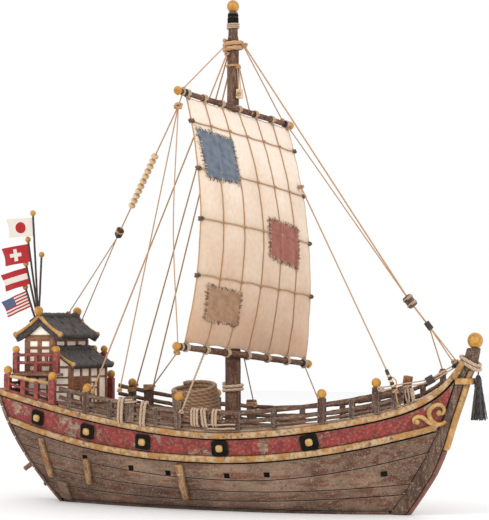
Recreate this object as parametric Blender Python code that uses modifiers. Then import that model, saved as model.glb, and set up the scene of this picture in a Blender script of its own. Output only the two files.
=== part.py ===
"""Decorative model of a square-rigged trading ship: planked hull, stern castle, mast, two yards and a sail.

Metres. +X points to the bow, +Y to port, +Z up. The origin lies on the flat bottom, under the mast.
"""

import math

import bmesh
import bpy
from mathutils import Matrix, Vector

GAP = 0.0003

# Hull: profile of the stem and the stern against height, and the widths amidships
BOTTOM_BOW_X = 0.150
BOTTOM_STERN_X = -0.167
PLANK = 0.0030
BOTTOM_PLANK = 0.0030
STEM_HALF = 0.0045
BOTTOM_HALF = 0.036
BEAM_HALF = 0.065
FULL_BEAM_Z = 0.110
FULLEST = 0.46
STATIONS = 24
BOW_CROWDING = 0.4

# Heights of the planks' edges: x of the lowest place, height there, rise and power aft, rise and power
# forward, each rise taken at RISE_SPAN from the lowest place, and the last upward sweep at the bow
LINES = {
    "seam_3": (0.000, 0.0096, 0.0113, 2.2, 0.0115, 1.8, 0.0),
    "seam_2": (0.030, 0.0186, 0.0141, 2.2, 0.0158, 1.8, 0.0),
    "seam_1": (0.030, 0.0284, 0.0195, 2.0, 0.0404, 1.8, 0.0),
    "lower_wale": (0.010, 0.0462, 0.0243, 2.2, 0.0342, 1.9, 0.0),
    "upper_wale": (0.010, 0.0670, 0.0285, 1.6, 0.0320, 1.8, 0.0207),
}
RISE_SPAN = 0.2
TIP_POWER = 11
WALE_HALF = 0.0033
WALE_PROUD = 0.0022

# Planks of one side from the bottom up: name, lower line and shift, upper line and shift, and how proud it is
SIDE_PLANKS = (
    ("strake_4", None, 0.0, "seam_3", 0.0, 0.0),
    ("strake_3", "seam_3", 0.0, "seam_2", 0.0, 0.0),
    ("strake_2", "seam_2", 0.0, "seam_1", 0.0, 0.0),
    ("strake_1", "seam_1", 0.0, "lower_wale", -WALE_HALF, 0.0),
    ("lower_wale", "lower_wale", -WALE_HALF, "lower_wale", WALE_HALF, WALE_PROUD),
    ("red_strake", "lower_wale", WALE_HALF, "upper_wale", -WALE_HALF, 0.0),
    ("upper_wale", "upper_wale", -WALE_HALF, "upper_wale", WALE_HALF, WALE_PROUD),
)
PLANK_PAINT = {"lower_wale": "gold", "upper_wale": "gold", "red_strake": "red"}
SIDES = (("starboard", -1), ("port", 1))

# Dark plates with a gold stud on the red strake: x, width
PLATES = ((-0.1725, 0.0125), (-0.117, 0.0135), (-0.0585, 0.0140), (0.016, 0.0145), (0.094, 0.0150))
PLATE_HEIGHT = 0.0128
PLATE_PROUD = 0.0011
STUD = 0.0068
STUD_PROUD = 0.0034

# Battens pegged to a plank: the plank, x and z of the top, x and z of the foot, width, z of the peg
BATTENS = (
    ("strake_1", -0.1712, 0.0600, -0.1690, 0.0240, 0.0095, 0.0560),
    ("strake_1", -0.1218, 0.0450, -0.1242, 0.0190, 0.0085, 0.0430),
    ("strake_1", -0.0240, 0.0412, -0.0238, 0.0112, 0.0095, 0.0370),
    ("strake_4", -0.1580, 0.0200, -0.1590, 0.0040, 0.0130, 0.0100),
)
BATTEN_THICK = 0.0022
PEG_R = 0.0014

DECK_THICK = 0.0030
TRANSOM_THICK = 0.0030

# Stem: depth of the timber low down and at the head, then the head's top and its lean
STEM_DEPTH_LOW = 0.0140
STEM_DEPTH_HIGH = 0.0070
STEM_TOP_Z = 0.1432
HEAD_LEAN_Z = 0.120
HEAD_LEAN = 0.25
TRIM_BOTTOM_Z = 0.056
TRIM_TOP_Z = 0.1245
# The head above the trim: depth at its foot and at its top, and how far its top is set back
HEAD_DEPTH = (0.0122, 0.0097)
HEAD_SET_BACK = 0.0018
HEAD_STEPS = 5
TRIM_DEPTH = 0.0046
SHOE_DEPTH = 0.0028
STEM_BALL_X = 0.2262
STEM_BALL_Z = 0.1494
STEM_BALL_R = 0.0067
BRACKET_Z = 0.1150
BAND_THICK = 0.0020
BAND_HEIGHT = 0.0052
# Rope round the stem's head, low at the front: centre, radii, rise of its turns, turns, slope, radius
LASHING_AT = (0.2222, 0.0, 0.1300)
LASHING_RADII = (0.0099, 0.0096)
LASHING_LIFT = 0.0042
LASHING_TURNS = 1.9
LASHING_SLOPE = -0.62
LASHING_R = 0.0018
TASSEL_TOP = (0.2285, 0.0, 0.1200)
# The tassel's profile from its top: radius, height
TASSEL_PROFILE = (
    (0.0, 0.0), (0.0018, -0.0005), (0.0022, -0.0060), (0.0016, -0.0090), (0.0034, -0.0140),
    (0.0066, -0.0385), (0.0, -0.0385),
)
STEM_HALF = 0.0050
TRIM_HALF = 0.0036
SHOE_HALF = 0.0042
BAND_CLEAR = 0.0014

# Fences on the hull's edge: x, kind and height of each post above the edge
WOOD_POSTS_STARBOARD = (
    (-0.1355, "baluster", 0.0165), (-0.1165, "ball", 0.0185), (-0.0913, "baluster", 0.0165),
    (-0.0703, "thick", 0.0225), (-0.0443, "baluster", 0.0165), (-0.0224, "ball", 0.0245),
    (0.0049, "baluster", 0.0165), (0.0335, "baluster", 0.0165), (0.0648, "baluster", 0.0165),
    (0.1051, "ball", 0.0215), (0.1296, "baluster", 0.0165), (0.1487, "ball", 0.0225),
    (0.1632, "baluster", 0.0165),
)
WOOD_POSTS_PORT = (
    (-0.1330, "ball", 0.0175), (-0.1161, "thick", 0.0225), (-0.0800, "baluster", 0.0165),
    (-0.0460, "ball", 0.0215),
    (-0.0103, "thick", 0.0225), (0.0425, "baluster", 0.0165), (0.0850, "baluster", 0.0165),
    (0.1423, "baluster", 0.0165), (0.1721, "baluster", 0.0165), (0.1935, "baluster", 0.0190),
)
# Where the cap strip lies, and where the rails end at the bow on each side
WOOD_FENCE_X = (-0.1470, 0.1960)
RAILS_END_X = {-1: 0.1700, 1: 0.1960}
POST_WIDTH = {"ball": 0.0062, "thick": 0.0078, "baluster": 0.0042}
POST_DEPTH = 0.0052
FENCE_BALL_R = 0.0040
TOP_RAIL_UP = 0.0160
MIDDLE_RAIL_UP = 0.0084
RAIL_R = 0.0018
CAP_HEIGHT = 0.0012
POST_INSET = 0.0004
CAP_WIDTH = 0.0046
RED_FENCE_X = (-0.2090, -0.1520)
# Red posts: x, width, height, and whether a ball stands on it
RED_POSTS = (
    (-0.2060, 0.0056, 0.0155, True), (-0.1878, 0.0042, 0.0150, False),
    (-0.1726, 0.0042, 0.0165, False), (-0.1550, 0.0056, 0.0215, True),
)
# The red fence's top rail rises forward: height above the edge at its two ends
RED_TOP_RAIL_UP = (0.0138, 0.0190)
RED_MIDDLE_RAIL_UP = 0.0072
RED_RAIL_R = 0.0014
RED_BALL_R = 0.0036
STERN_CAP_WIDTH = 0.0050
STERN_POST_Y = (-0.025, 0.0, 0.025)
STERN_POST_SIZE = (0.0036, 0.0040, 0.0140)

# Stern castle: lower house with an annex, veranda plank, upper house and two roofs
HOUSE_HALF = 0.033
LOWER_HOUSE_X = (-0.1960, -0.1480)
ANNEX_BACK_X = -0.1672
ANNEX_EAVE_Z = 0.1255
ANNEX_TOP_Z = 0.1385
VERANDA_Z = (0.1165, 0.1190)
VERANDA_X = (-0.2030, -0.1676)
VERANDA_WING_X = -0.1535
VERANDA_WING_LAP = 0.004
VERANDA_WING_CLEAR = 0.0045
VERANDA_HALF = 0.0475
VERANDA_POST_X = (-0.2000, -0.1570)
VERANDA_POST_TOP = 0.1380
VERANDA_RAILS_Z = (0.1285, 0.1355)
VERANDA_SILL = 0.0030
VERANDA_POST_WIDTH = 0.0044
VERANDA_BALL_R = 0.0031
VERANDA_RAIL_R = 0.0013
UPPER_HOUSE_X = (-0.1980, -0.1676)
UPPER_HOUSE_HALF = 0.0310
UPPER_WALL_TOP_Z = 0.1511
RIDGE_X = -0.1815
RIDGE_Z = 0.1708
UPPER_ROOF_EAVE_X = (-0.2069, -0.1589)
UPPER_ROOF_EAVE_Z = 0.1541
ROOF_THICK = 0.0035
ROOF_SAG = 0.0012
ROOF_HALF = 0.0340
LOWER_ROOF_EAVE = (-0.1440, 0.1265)
LOWER_ROOF_SAG = 0.0008
LOWER_ROOF_THICK = 0.0026
LOWER_ROOF_OVER = 0.0030
LOWER_ROOF_RISE = 0.0032
RIDGE_BAR_R = 0.0022
RIDGE_BAR_OVER = 0.0030
RIDGE_BAR_UP = 0.0012
ROOF_BALL_R = 0.0040
ROOF_BALL_UP = 0.0055
# Gold boards on the gables: above and below the roof, inside and outside its end, and the knob at their foot
RAKE = {"up": 0.0016, "down": 0.0010, "in": 0.0012, "out": 0.0022, "knob": 0.0030}
LOWER_RAKE = {"up": 0.0014, "down": 0.0008, "in": 0.0010, "out": 0.0018, "knob": 0.0026}
LOWER_BALL_R = 0.0028
KNOB_DROP = 0.0012

# Flag staffs stand in a block on the upper roof's aft slope: foot x, y, then head x, y, z
STAFF_BLOCK_AT = (-0.1885, -0.0270)
STAFF_BLOCK_THICK = 0.0034
STAFF_BLOCK_SIDE = 0.0110
STAFFS = (
    (-0.1860, -0.0290, -0.1975, -0.0300, 0.2680),
    (-0.1868, -0.0268, -0.2030, -0.0268, 0.2435),
    (-0.1885, -0.0250, -0.2060, -0.0236, 0.2210),
    (-0.1915, -0.0235, -0.2065, -0.0204, 0.1990),
    (-0.1845, -0.0305, -0.1875, -0.0332, 0.2290),
)
STAFF_R = 0.0009
STAFF_BALL_R = 0.0020
# Flags: the staff, length, height, and how far below the staff's head the flag starts
FLAGS = (
    (0, 0.0232, 0.0175, 0.0040),
    (1, 0.0225, 0.0165, 0.0040),
    (2, 0.0225, 0.0155, 0.0036),
    (3, 0.0225, 0.0160, 0.0040),
)
FLAG_THICK = 0.0006
FLAG_WAVE = 0.0012

# Mast: height against radius
MAST_TOP_Z = 0.4460
MAST_PROFILE = (
    (0.4460, 0.0044), (0.4225, 0.0044), (0.4200, 0.0054), (0.3600, 0.0056), (0.2000, 0.0068), (0.0, 0.0074),
)
MAST_BALL_Z = 0.4515
MAST_BALL_R = 0.0055
COLLAR_Z = 0.4160
COLLAR_RADII = (0.0079, 0.0079)
COLLAR_LIFT = 0.0048
COLLAR_ROPE_R = 0.0022

# Yards: turned port end forward about the mast and hung starboard end high
BRACE_DEG = 15.0
UPPER_YARD = {"z": 0.3564, "ahead": 0.0090, "tilt": -6.0, "ends": (-0.0850, 0.0720), "r": 0.0027}
LOWER_YARD = {"z": 0.1362, "ahead": 0.0106, "tilt": -5.4, "ends": (-0.0880, 0.0970), "r": 0.0030}
YARD_BALL_R = 0.0036
SAIL_HEAD = (-0.0743, 0.0680)
SAIL_FOOT = (-0.0778, 0.0926)
SAIL_BELLY_EDGE = (0.0180, 0.0140)
SAIL_BELLY_MIDDLE = 0.0075
SAIL_THICK = 0.0012
SAIL_CELLS = (10, 13)
PARREL_R = 0.0013
# The mast's radius where the lower and the upper yard hang
MAST_R_AT_YARDS = (0.0072, 0.0057)

# Deck gear
COIL_AT = (-0.0390, 0.0040)
COIL_R = (0.0165, 0.0215)
COIL_HEIGHT = (0.0290, 0.0370)
BOLLARD_AT = (0.1700, -0.0125)
BOLLARD_SIZE = 0.0060
BOLLARD_HEIGHT = 0.0260

# Standing rigging
STAY_R = 0.0008
FORESTAY_TOP = (0.0108, 0.0, 0.4155)
DEADEYE_SIZE = (0.0120, 0.0050, 0.0085)
LASHED_EYE_SIZE = (0.0100, 0.0060, 0.0060)
FORESTAY_BLOCK = (0.1680, 0.0, 0.1830)
FORESTAY_KNOT = (0.1850, 0.0, 0.1620)
FORESTAY_LEGS = (((0.2080, 0.0, 0.1291), (0.2088, 0.0, 0.1328)), ((0.1935, 0.0119, 0.1282),))
SHROUD_TOP_Z = 0.4078
FOOT_BELOW_TOP = 0.0010
SHROUD_TOP_R = 0.0066
# Shrouds: name, post at the foot, side, and the bearing of the top round the mast from dead aft
SHROUDS = (
    ("shroud_starboard", WOOD_POSTS_STARBOARD[1], -1, 60),
    ("shroud_port_aft", WOOD_POSTS_PORT[0], 1, 20),
    ("shroud_port_fore", WOOD_POSTS_PORT[1], 1, 65),
)

PAINTS = {
    "wood": ((0.25, 0.17, 0.11), 0.75, 0.0),
    "red": ((0.36, 0.04, 0.04), 0.6, 0.0),
    "gold": ((0.50, 0.30, 0.08), 0.5, 0.0),
    "black": ((0.02, 0.02, 0.02), 0.5, 0.0),
    "dark_wood": ((0.10, 0.045, 0.03), 0.6, 0.0),
    "cream": ((0.72, 0.58, 0.42), 0.9, 0.0),
    "rope": ((0.42, 0.27, 0.13), 0.9, 0.0),
    "white": ((0.80, 0.78, 0.74), 0.7, 0.0),
    "slate": ((0.04, 0.04, 0.045), 0.8, 0.0),
}


# Scene, materials and mesh helpers
def clear_scene():
    for obj in list(bpy.data.objects):
        bpy.data.objects.remove(obj, do_unlink=True)


def collection(name):
    made = bpy.data.collections.new(name)
    bpy.context.scene.collection.children.link(made)
    return made


def paint(name):
    if name in bpy.data.materials:
        return bpy.data.materials[name]
    colour, roughness, metallic = PAINTS[name]
    material = bpy.data.materials.new(name)
    material.use_nodes = True
    shader = material.node_tree.nodes["Principled BSDF"]
    shader.inputs["Base Color"].default_value = (*colour, 1.0)
    shader.inputs["Roughness"].default_value = roughness
    shader.inputs["Metallic"].default_value = metallic
    return material


def place(name, data, paint_name, group=None):
    obj = bpy.data.objects.new(name, data)
    obj.data.materials.append(paint(paint_name))
    (group or SHIP).objects.link(obj)
    return obj


def mesh_of(bm, name):
    bmesh.ops.recalc_face_normals(bm, faces=bm.faces)
    mesh = bpy.data.meshes.new(name)
    bm.to_mesh(mesh)
    bm.free()
    return mesh


def box_mesh(name, centre, size, turn=None):
    bm = bmesh.new()
    bmesh.ops.create_cube(bm, size=1.0)
    turned = turn or Matrix.Identity(4)
    bm.transform(Matrix.Translation(centre) @ turned @ Matrix.Diagonal((*size, 1.0)))
    return mesh_of(bm, name)


def ball_mesh(name, centre, radius, across=8):
    bm = bmesh.new()
    bmesh.ops.create_uvsphere(bm, u_segments=across, v_segments=across // 2 + 1, radius=radius)
    bm.transform(Matrix.Translation(centre))
    return mesh_of(bm, name)


def rod_mesh(name, start, end, radius, sides=6):
    start, end = Vector(start), Vector(end)
    bm = bmesh.new()
    length = (end - start).length
    bmesh.ops.create_cone(bm, cap_ends=True, segments=sides, radius1=radius, radius2=radius, depth=length)
    turn = (end - start).to_track_quat("Z", "Y").to_matrix().to_4x4()
    bm.transform(Matrix.Translation((start + end) / 2) @ turn)
    return mesh_of(bm, name)


def loft_mesh(name, rings):
    """A closed solid through rings that have the same number of points."""
    bm = bmesh.new()
    rows = [[bm.verts.new(point) for point in ring] for ring in rings]
    count = len(rows[0])
    for near, far in zip(rows, rows[1:]):
        for i in range(count):
            j = (i + 1) % count
            bm.faces.new((near[i], near[j], far[j], far[i]))
    bm.faces.new(rows[0])
    bm.faces.new(rows[-1])
    bmesh.ops.triangulate(bm, faces=bm.faces)
    return mesh_of(bm, name)


def turned(name, profile, paint_name, steps=20, group=None):
    """A solid turned about Z from (radius, z) points that run from the top down."""
    mesh = bpy.data.meshes.new(name)
    mesh.from_pydata([(r, 0.0, z) for r, z in profile], [(i, i + 1) for i in range(len(profile) - 1)], [])
    obj = place(name, mesh, paint_name, group)
    screw = obj.modifiers.new("turn", "SCREW")
    screw.steps = steps
    screw.render_steps = steps
    screw.use_merge_vertices = True
    screw.merge_threshold = 0.00001
    screw.use_smooth_shade = True
    return obj


def seated_ball(name, centre_z, radius, seat_z):
    """A turned ball on the Z axis, with a flat foot just above the place where it sits."""
    foot = math.acos((centre_z - seat_z - GAP) / radius)
    steps = 8
    profile = []
    for i in range(steps + 1):
        angle = (math.pi - foot) * i / steps
        profile.append((radius * math.sin(angle), centre_z + radius * math.cos(angle)))
    profile[0] = (0.0, profile[0][1])
    profile.append((0.0, profile[-1][1]))
    return turned(name, profile, "gold", 14)


def tube(name, points, radius, paint_name, group=None, cyclic=False):
    curve = bpy.data.curves.new(name, "CURVE")
    curve.dimensions = "3D"
    curve.bevel_depth = radius
    curve.bevel_resolution = 1
    curve.use_fill_caps = not cyclic
    spline = curve.splines.new("POLY")
    spline.points.add(len(points) - 1)
    for point, co in zip(spline.points, points):
        point.co = (*co, 1.0)
    spline.use_cyclic_u = cyclic
    return place(name, curve, paint_name, group)


def as_mesh(obj):
    """The mesh of a curve object, with its caps welded. The curve is removed."""
    bpy.context.view_layer.update()
    evaluated = obj.evaluated_get(bpy.context.evaluated_depsgraph_get())
    mesh = bpy.data.meshes.new_from_object(evaluated)
    bm = bmesh.new()
    bm.from_mesh(mesh)
    bmesh.ops.remove_doubles(bm, verts=bm.verts, dist=0.00001)
    bm.transform(obj.matrix_world)
    mesh = mesh_of(bm, obj.name + "_mesh")
    bpy.data.objects.remove(obj, do_unlink=True)
    return mesh


def plate_outline(name, outline, half, paint_name):
    """A flat outline in the XZ plane, thickened by half to port and to starboard."""
    curve = bpy.data.curves.new(name, "CURVE")
    curve.dimensions = "2D"
    curve.fill_mode = "BOTH"
    curve.extrude = half
    spline = curve.splines.new("POLY")
    spline.points.add(len(outline) - 1)
    for point, (x, z) in zip(spline.points, outline):
        point.co = (x, z, 0.0, 1.0)
    spline.use_cyclic_u = True
    obj = place(name, curve, paint_name)
    obj.rotation_euler.x = math.radians(90)
    return obj


def join(name, base, meshes, paint_name):
    """One body: the base mesh with each other mesh joined to it by a Boolean union."""
    obj = place(name, base, paint_name)
    helpers = bpy.data.collections.new(name + "_joined")
    HELPERS.children.link(helpers)
    for mesh in meshes:
        helper = bpy.data.objects.new(mesh.name, mesh)
        helper.hide_render = True
        helper.display_type = "WIRE"
        helpers.objects.link(helper)
    union = obj.modifiers.new("union", "BOOLEAN")
    union.operation = "UNION"
    union.solver = "EXACT"
    union.operand_type = "COLLECTION"
    union.collection = helpers
    return obj


# Hull form
def line_z(line, x):
    if line is None:
        return BOTTOM_PLANK + GAP
    lowest, middle, aft, aft_power, fore, fore_power, tip = LINES[line]
    s = max(lowest - x, 0.0) / RISE_SPAN
    f = max(x - lowest, 0.0) / RISE_SPAN
    return middle + aft * s**aft_power + fore * f**fore_power + tip * f**TIP_POWER


def stem_x(z):
    return BOTTOM_BOW_X + 0.757 * z - 2.073 * z * z


def stern_x(z):
    return BOTTOM_STERN_X - 0.721 * z + 2.4 * z * z


def half_breadth(x, z):
    """Half the hull's width at a place and height, outside the planking."""
    widest = BEAM_HALF - (BEAM_HALF - BOTTOM_HALF) * max(1.0 - z / FULL_BEAM_Z, 0.0) ** 3.2
    stern_share = 0.30 + 5.8 * z - 17.6 * z * z
    t = (x - stern_x(z)) / (stem_x(z) - stern_x(z))
    t = min(max(t, 0.0), 1.0)
    if t < FULLEST:
        share = stern_share + (1.0 - stern_share) * math.sin(math.pi / 2 * t / FULLEST) ** 0.9
    else:
        share = 1.0 - ((t - FULLEST) / (1.0 - FULLEST)) ** 2.3
    return STEM_HALF + (widest - STEM_HALF) * share


def line_ends(line, shift):
    """Where an edge line meets the stern and the stem."""
    aft, fore = BOTTOM_STERN_X, BOTTOM_BOW_X
    for _ in range(30):
        aft = stern_x(line_z(line, aft) + shift)
        fore = stem_x(line_z(line, fore) + shift)
    return aft, fore


def station(i, ends):
    """The x of a station; they stand closer together towards the bow."""
    s = i / STATIONS
    share = (1.0 - BOW_CROWDING) * s + BOW_CROWDING * (1.0 - (1.0 - s) ** 2)
    return ends[0] + (ends[1] - ends[0]) * share


def top_edge():
    """The hull's top edge as planked: straight between stations, outside the planking, to port."""
    ends = line_ends("upper_wale", WALE_HALF)
    points = []
    for i in range(STATIONS + 1):
        x = station(i, ends)
        z = line_z("upper_wale", x) + WALE_HALF
        points.append((x, half_breadth(x, z), z))
    return points


def edge_at(x):
    points = top_edge()
    for near, far in zip(points, points[1:]):
        if x <= far[0]:
            break
    s = (x - near[0]) / (far[0] - near[0])
    return near[1] + (far[1] - near[1]) * s, near[2] + (far[2] - near[2]) * s


def edge_y(x):
    return edge_at(x)[0]


def sheer(x):
    return edge_at(x)[1]


def side_plank(name, low_line, low_shift, high_line, high_shift, proud, side):
    low_ends = line_ends(low_line, low_shift)
    high_ends = line_ends(high_line, high_shift)
    rings = []
    for i in range(STATIONS + 1):
        ring = []
        for line, shift, ends, gap in (
            (low_line, low_shift, low_ends, GAP / 2),
            (high_line, high_shift, high_ends, -GAP / 2),
        ):
            x = station(i, ends)
            z = line_z(line, x) + shift
            y = half_breadth(x, z)
            corners = [(x, side * (y + proud), z + gap), (x, side * (y - PLANK), z + gap)]
            ring += corners if gap > 0 else corners[::-1]
        rings.append(ring)
    return loft_mesh(name, rings)


def surface_turn(x, z, side, slope=0.0):
    """Axes on the hull's side: X along the hull, rising by the slope, Y out of it, Z up."""
    step = 0.002
    out = Vector((
        -(half_breadth(x + step, z) - half_breadth(x - step, z)) / (2 * step),
        1.0,
        -(half_breadth(x, z + step) - half_breadth(x, z - step)) / (2 * step),
    )).normalized()
    out.y *= side
    along = Vector((1.0, 0.0, slope))
    along = (along - out * along.dot(out)).normalized()
    up = along.cross(out) if side > 0 else out.cross(along)
    return Matrix((along, out, up)).transposed().to_4x4()


def strake_middle(x):
    return (line_z("lower_wale", x) + line_z("upper_wale", x)) / 2


def plate_meshes(side):
    """The dark plates of the red strake, each with its stud."""
    meshes = []
    for i, (x, width) in enumerate(PLATES):
        z = strake_middle(x)
        slope = (strake_middle(x + width / 2) - strake_middle(x - width / 2)) / width
        turn = surface_turn(x, z, side, slope)
        centre = Vector((x, side * half_breadth(x, z), z))
        out = turn.col[1].to_3d()
        back = -PLANK / 2
        plate_centre = centre + out * (PLATE_PROUD + back) / 2
        size = (width, PLATE_PROUD - back, PLATE_HEIGHT)
        meshes.append(box_mesh(f"plate_{i}", plate_centre, size, turn))
        stud_centre = centre + out * STUD_PROUD / 2
        meshes.append(box_mesh(f"stud_{i}", stud_centre, (STUD, STUD_PROUD, STUD), turn))
    return meshes


def batten_meshes(plank, side):
    """The battens that this plank carries, each with the peg that holds it."""
    meshes = []
    for i, (carrier, x_top, z_top, x_foot, z_foot, width, peg_z) in enumerate(BATTENS):
        if carrier != plank:
            continue
        rings = []
        rows = 7
        for k in range(rows):
            s = k / (rows - 1)
            x = x_top + (x_foot - x_top) * s
            z = z_top + (z_foot - z_top) * s
            ring = []
            for across, out in ((-0.5, 0.0), (0.5, 0.0), (0.5, BATTEN_THICK), (-0.5, BATTEN_THICK)):
                px = x + across * width
                ring.append((px, side * (half_breadth(px, z) + GAP * 1.5 + out), z))
            rings.append(ring)
        meshes.append(loft_mesh(f"batten_{i}", rings))
        peg_x = x_top + (x_foot - x_top) * (z_top - peg_z) / (z_top - z_foot)
        surface = Vector((peg_x, side * half_breadth(peg_x, peg_z), peg_z))
        out = surface_turn(peg_x, peg_z, side).col[1].to_3d()
        meshes.append(rod_mesh(f"peg_{i}", surface - out * PLANK / 2, surface + out * 0.0017, PEG_R))
    return meshes


def hull():
    rings = []
    for i in range(STATIONS + 1):
        x = station(i, (BOTTOM_STERN_X, BOTTOM_BOW_X))
        y = half_breadth(x, 0.0)
        rings.append([(x, -y, 0.0), (x, y, 0.0), (x, y, BOTTOM_PLANK), (x, -y, BOTTOM_PLANK)])
    place("bottom_plank", loft_mesh("bottom_plank", rings), "wood")
    for label, side in SIDES:
        for plank, *row in SIDE_PLANKS:
            name = f"{plank}_{label}"
            fittings = plate_meshes(side) if plank == "red_strake" else batten_meshes(plank, side)
            mesh = side_plank(name, *row, side)
            if fittings:
                join(name, mesh, fittings, PLANK_PAINT.get(plank, "wood"))
            else:
                place(name, mesh, PLANK_PAINT.get(plank, "wood"))


def deck():
    aft, fore = line_ends("upper_wale", WALE_HALF)
    rings = []
    for i in range(STATIONS + 1):
        x = min(max(station(i, (aft, fore)), aft + GAP), fore - GAP)
        top = sheer(x)
        bottom = top - DECK_THICK
        low_x = min(max(x, stern_x(bottom) + GAP), stem_x(bottom) - GAP)
        y = min(half_breadth(x, top), half_breadth(low_x, bottom)) - PLANK - GAP
        rings.append([(low_x, -y, bottom), (low_x, y, bottom), (x, y, top), (x, -y, top)])
    place("deck", loft_mesh("deck", rings), "wood")


def transom():
    """The raked panel that closes the stern, behind the planks' ends."""
    rings = []
    rows = 16
    top = sheer(line_ends("upper_wale", WALE_HALF)[0])
    for i in range(rows + 1):
        z = top * i / rows
        x = stern_x(z) - GAP
        y = half_breadth(stern_x(z), z) + WALE_PROUD / 2
        rings.append([(x, -y, z), (x, y, z), (x - TRANSOM_THICK, y, z), (x - TRANSOM_THICK, -y, z)])
    place("transom", loft_mesh("transom", rings), "wood")


def stem_lean(z):
    return HEAD_LEAN * max(z - HEAD_LEAN_Z, 0.0)


def stem_inner(z):
    return stem_x(z) + GAP + stem_lean(z)


def stem_outer(z):
    drop = min(max((z - 0.030) / 0.060, 0.0), 1.0)
    drop = drop * drop * (3 - 2 * drop)
    depth = STEM_DEPTH_LOW + (STEM_DEPTH_HIGH - STEM_DEPTH_LOW) * drop
    return stem_inner(z) + depth + stem_lean(z) * 0.2


def heights(low, high, count):
    return [low + (high - low) * i / count for i in range(count + 1)]


def stem():
    levels = heights(0.0, STEM_TOP_Z, 20)
    back = [(stem_inner(z), z) for z in levels if z < TRIM_TOP_Z]
    front = [(stem_outer(z), z) for z in levels if z < TRIM_TOP_Z]
    front.append((stem_outer(TRIM_TOP_Z), TRIM_TOP_Z + GAP))
    for i, z in enumerate(heights(TRIM_TOP_Z + GAP, STEM_TOP_Z, HEAD_STEPS)):
        share = i / HEAD_STEPS
        head_x = stem_inner(z) - HEAD_SET_BACK * share
        back.append((head_x, z))
        front.append((head_x + HEAD_DEPTH[0] + (HEAD_DEPTH[1] - HEAD_DEPTH[0]) * share, z))
    outline = back + front[::-1]
    plate_outline("stem", outline, STEM_HALF, "wood")
    levels = heights(TRIM_BOTTOM_Z, TRIM_TOP_Z, 12)
    outline = [(stem_outer(z) + GAP, z) for z in levels]
    outline += [(stem_outer(z) + GAP + TRIM_DEPTH, z) for z in reversed(levels)]
    plate_outline("stem_trim", outline, TRIM_HALF, "gold")
    levels = heights(0.0, TRIM_BOTTOM_Z - GAP, 8)
    outline = [(stem_outer(z) + GAP, z) for z in levels]
    outline += [(stem_outer(z) + GAP + SHOE_DEPTH, z) for z in reversed(levels)]
    plate_outline("stem_shoe", outline, SHOE_HALF, "red")
    ball = seated_ball("stem_ball", STEM_BALL_Z, STEM_BALL_R, STEM_TOP_Z)
    ball.location.x = STEM_BALL_X
    band_x = stem_outer(BRACKET_Z) + GAP + TRIM_DEPTH + BAND_THICK / 2 + BAND_CLEAR
    back_x = stem_inner(BRACKET_Z + BAND_HEIGHT / 2) + GAP
    band_y = STEM_HALF + GAP + BAND_THICK / 2
    base = box_mesh("stem_band", (band_x, 0.0, BRACKET_Z), (BAND_THICK, 2 * band_y + BAND_THICK, BAND_HEIGHT))
    sides = []
    for side in (-1, 1):
        size = (band_x - back_x + BAND_THICK / 2, BAND_THICK, BAND_HEIGHT * 0.999)
        sides.append(box_mesh(f"band_side_{side}", ((band_x + back_x) / 2, side * band_y, BRACKET_Z), size))
    join("stem_band", base, sides, "gold")


def helix(centre, radii, lift, turns, steps, slope=0.0):
    """Points of a rope that winds round an upright post, as an oval that slopes from back to front."""
    points = []
    for i in range(int(turns * steps) + 1):
        angle = 2 * math.pi * i / steps
        x = radii[0] * math.cos(angle)
        z = centre[2] + lift * (i / steps - turns / 2) + slope * x
        points.append((centre[0] + x, centre[1] + radii[1] * math.sin(angle), z))
    return points


def bow_rope():
    points = helix(LASHING_AT, LASHING_RADII, LASHING_LIFT, LASHING_TURNS, 14, LASHING_SLOPE)
    tube("stem_lashing", points, LASHING_R, "rope")
    x, y, top = TASSEL_TOP
    tassel = turned("tassel", TASSEL_PROFILE, "black", 10)
    tassel.location = (x, y, top)


# Fences
def along_edge(x_range, up, side):
    """Points over the hull's top edge, at each station between two places."""
    inside = [x for x, _, _ in top_edge() if x_range[0] + 0.003 < x < x_range[1] - 0.003]
    points = []
    for x in (x_range[0], *inside, x_range[1]):
        y, z = edge_at(x)
        points.append((x, side * (y - POST_INSET), z + up))
    return points


def post_foot(x, width, side):
    """Where a post stands in the cap strip, just clear of the sloping edge under it."""
    z = max(sheer(x - width / 2), sheer(x + width / 2)) + GAP
    return Vector((x, side * (edge_y(x) - POST_INSET), z))


def cap_strip(name, x_range, side):
    rings = []
    for x, y, z in along_edge(x_range, GAP, side):
        half = CAP_WIDTH / 2
        top = z + CAP_HEIGHT
        rings.append([(x, y - half, z), (x, y + half, z), (x, y + half, top), (x, y - half, top)])
    return loft_mesh(name, rings)


def edge_rail(name, x_range, up, side, radius=RAIL_R):
    return as_mesh(tube(name, along_edge(x_range, up, side), radius, "wood"))


def fence(name, posts, x_range, side, paint_name):
    base = cap_strip(name, x_range, side)
    rails_x = (x_range[0], RAILS_END_X[side])
    parts = [
        edge_rail(f"{name}_top", rails_x, TOP_RAIL_UP, side),
        edge_rail(f"{name}_middle", rails_x, MIDDLE_RAIL_UP, side),
    ]
    for i, (x, kind, height) in enumerate(posts):
        width = POST_WIDTH[kind]
        foot = post_foot(x, width, side)
        centre = foot + Vector((0.0, 0.0, height / 2))
        parts.append(box_mesh(f"{name}_post_{i}", centre, (width, min(width, POST_DEPTH), height)))
        if kind == "ball":
            top = foot + Vector((0.0, 0.0, height + FENCE_BALL_R * 0.8))
            parts.append(ball_mesh(f"{name}_ball_{i}", top, FENCE_BALL_R))
    join(name, base, parts, paint_name)


def rising_rail(x_range, ups, side):
    """A route over the edge whose height above it changes evenly from one end to the other."""
    points = []
    for x, y, z in along_edge(x_range, 0.0, side):
        share = (x - x_range[0]) / (x_range[1] - x_range[0])
        points.append((x, y, z + ups[0] + (ups[1] - ups[0]) * share))
    return points


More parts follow.
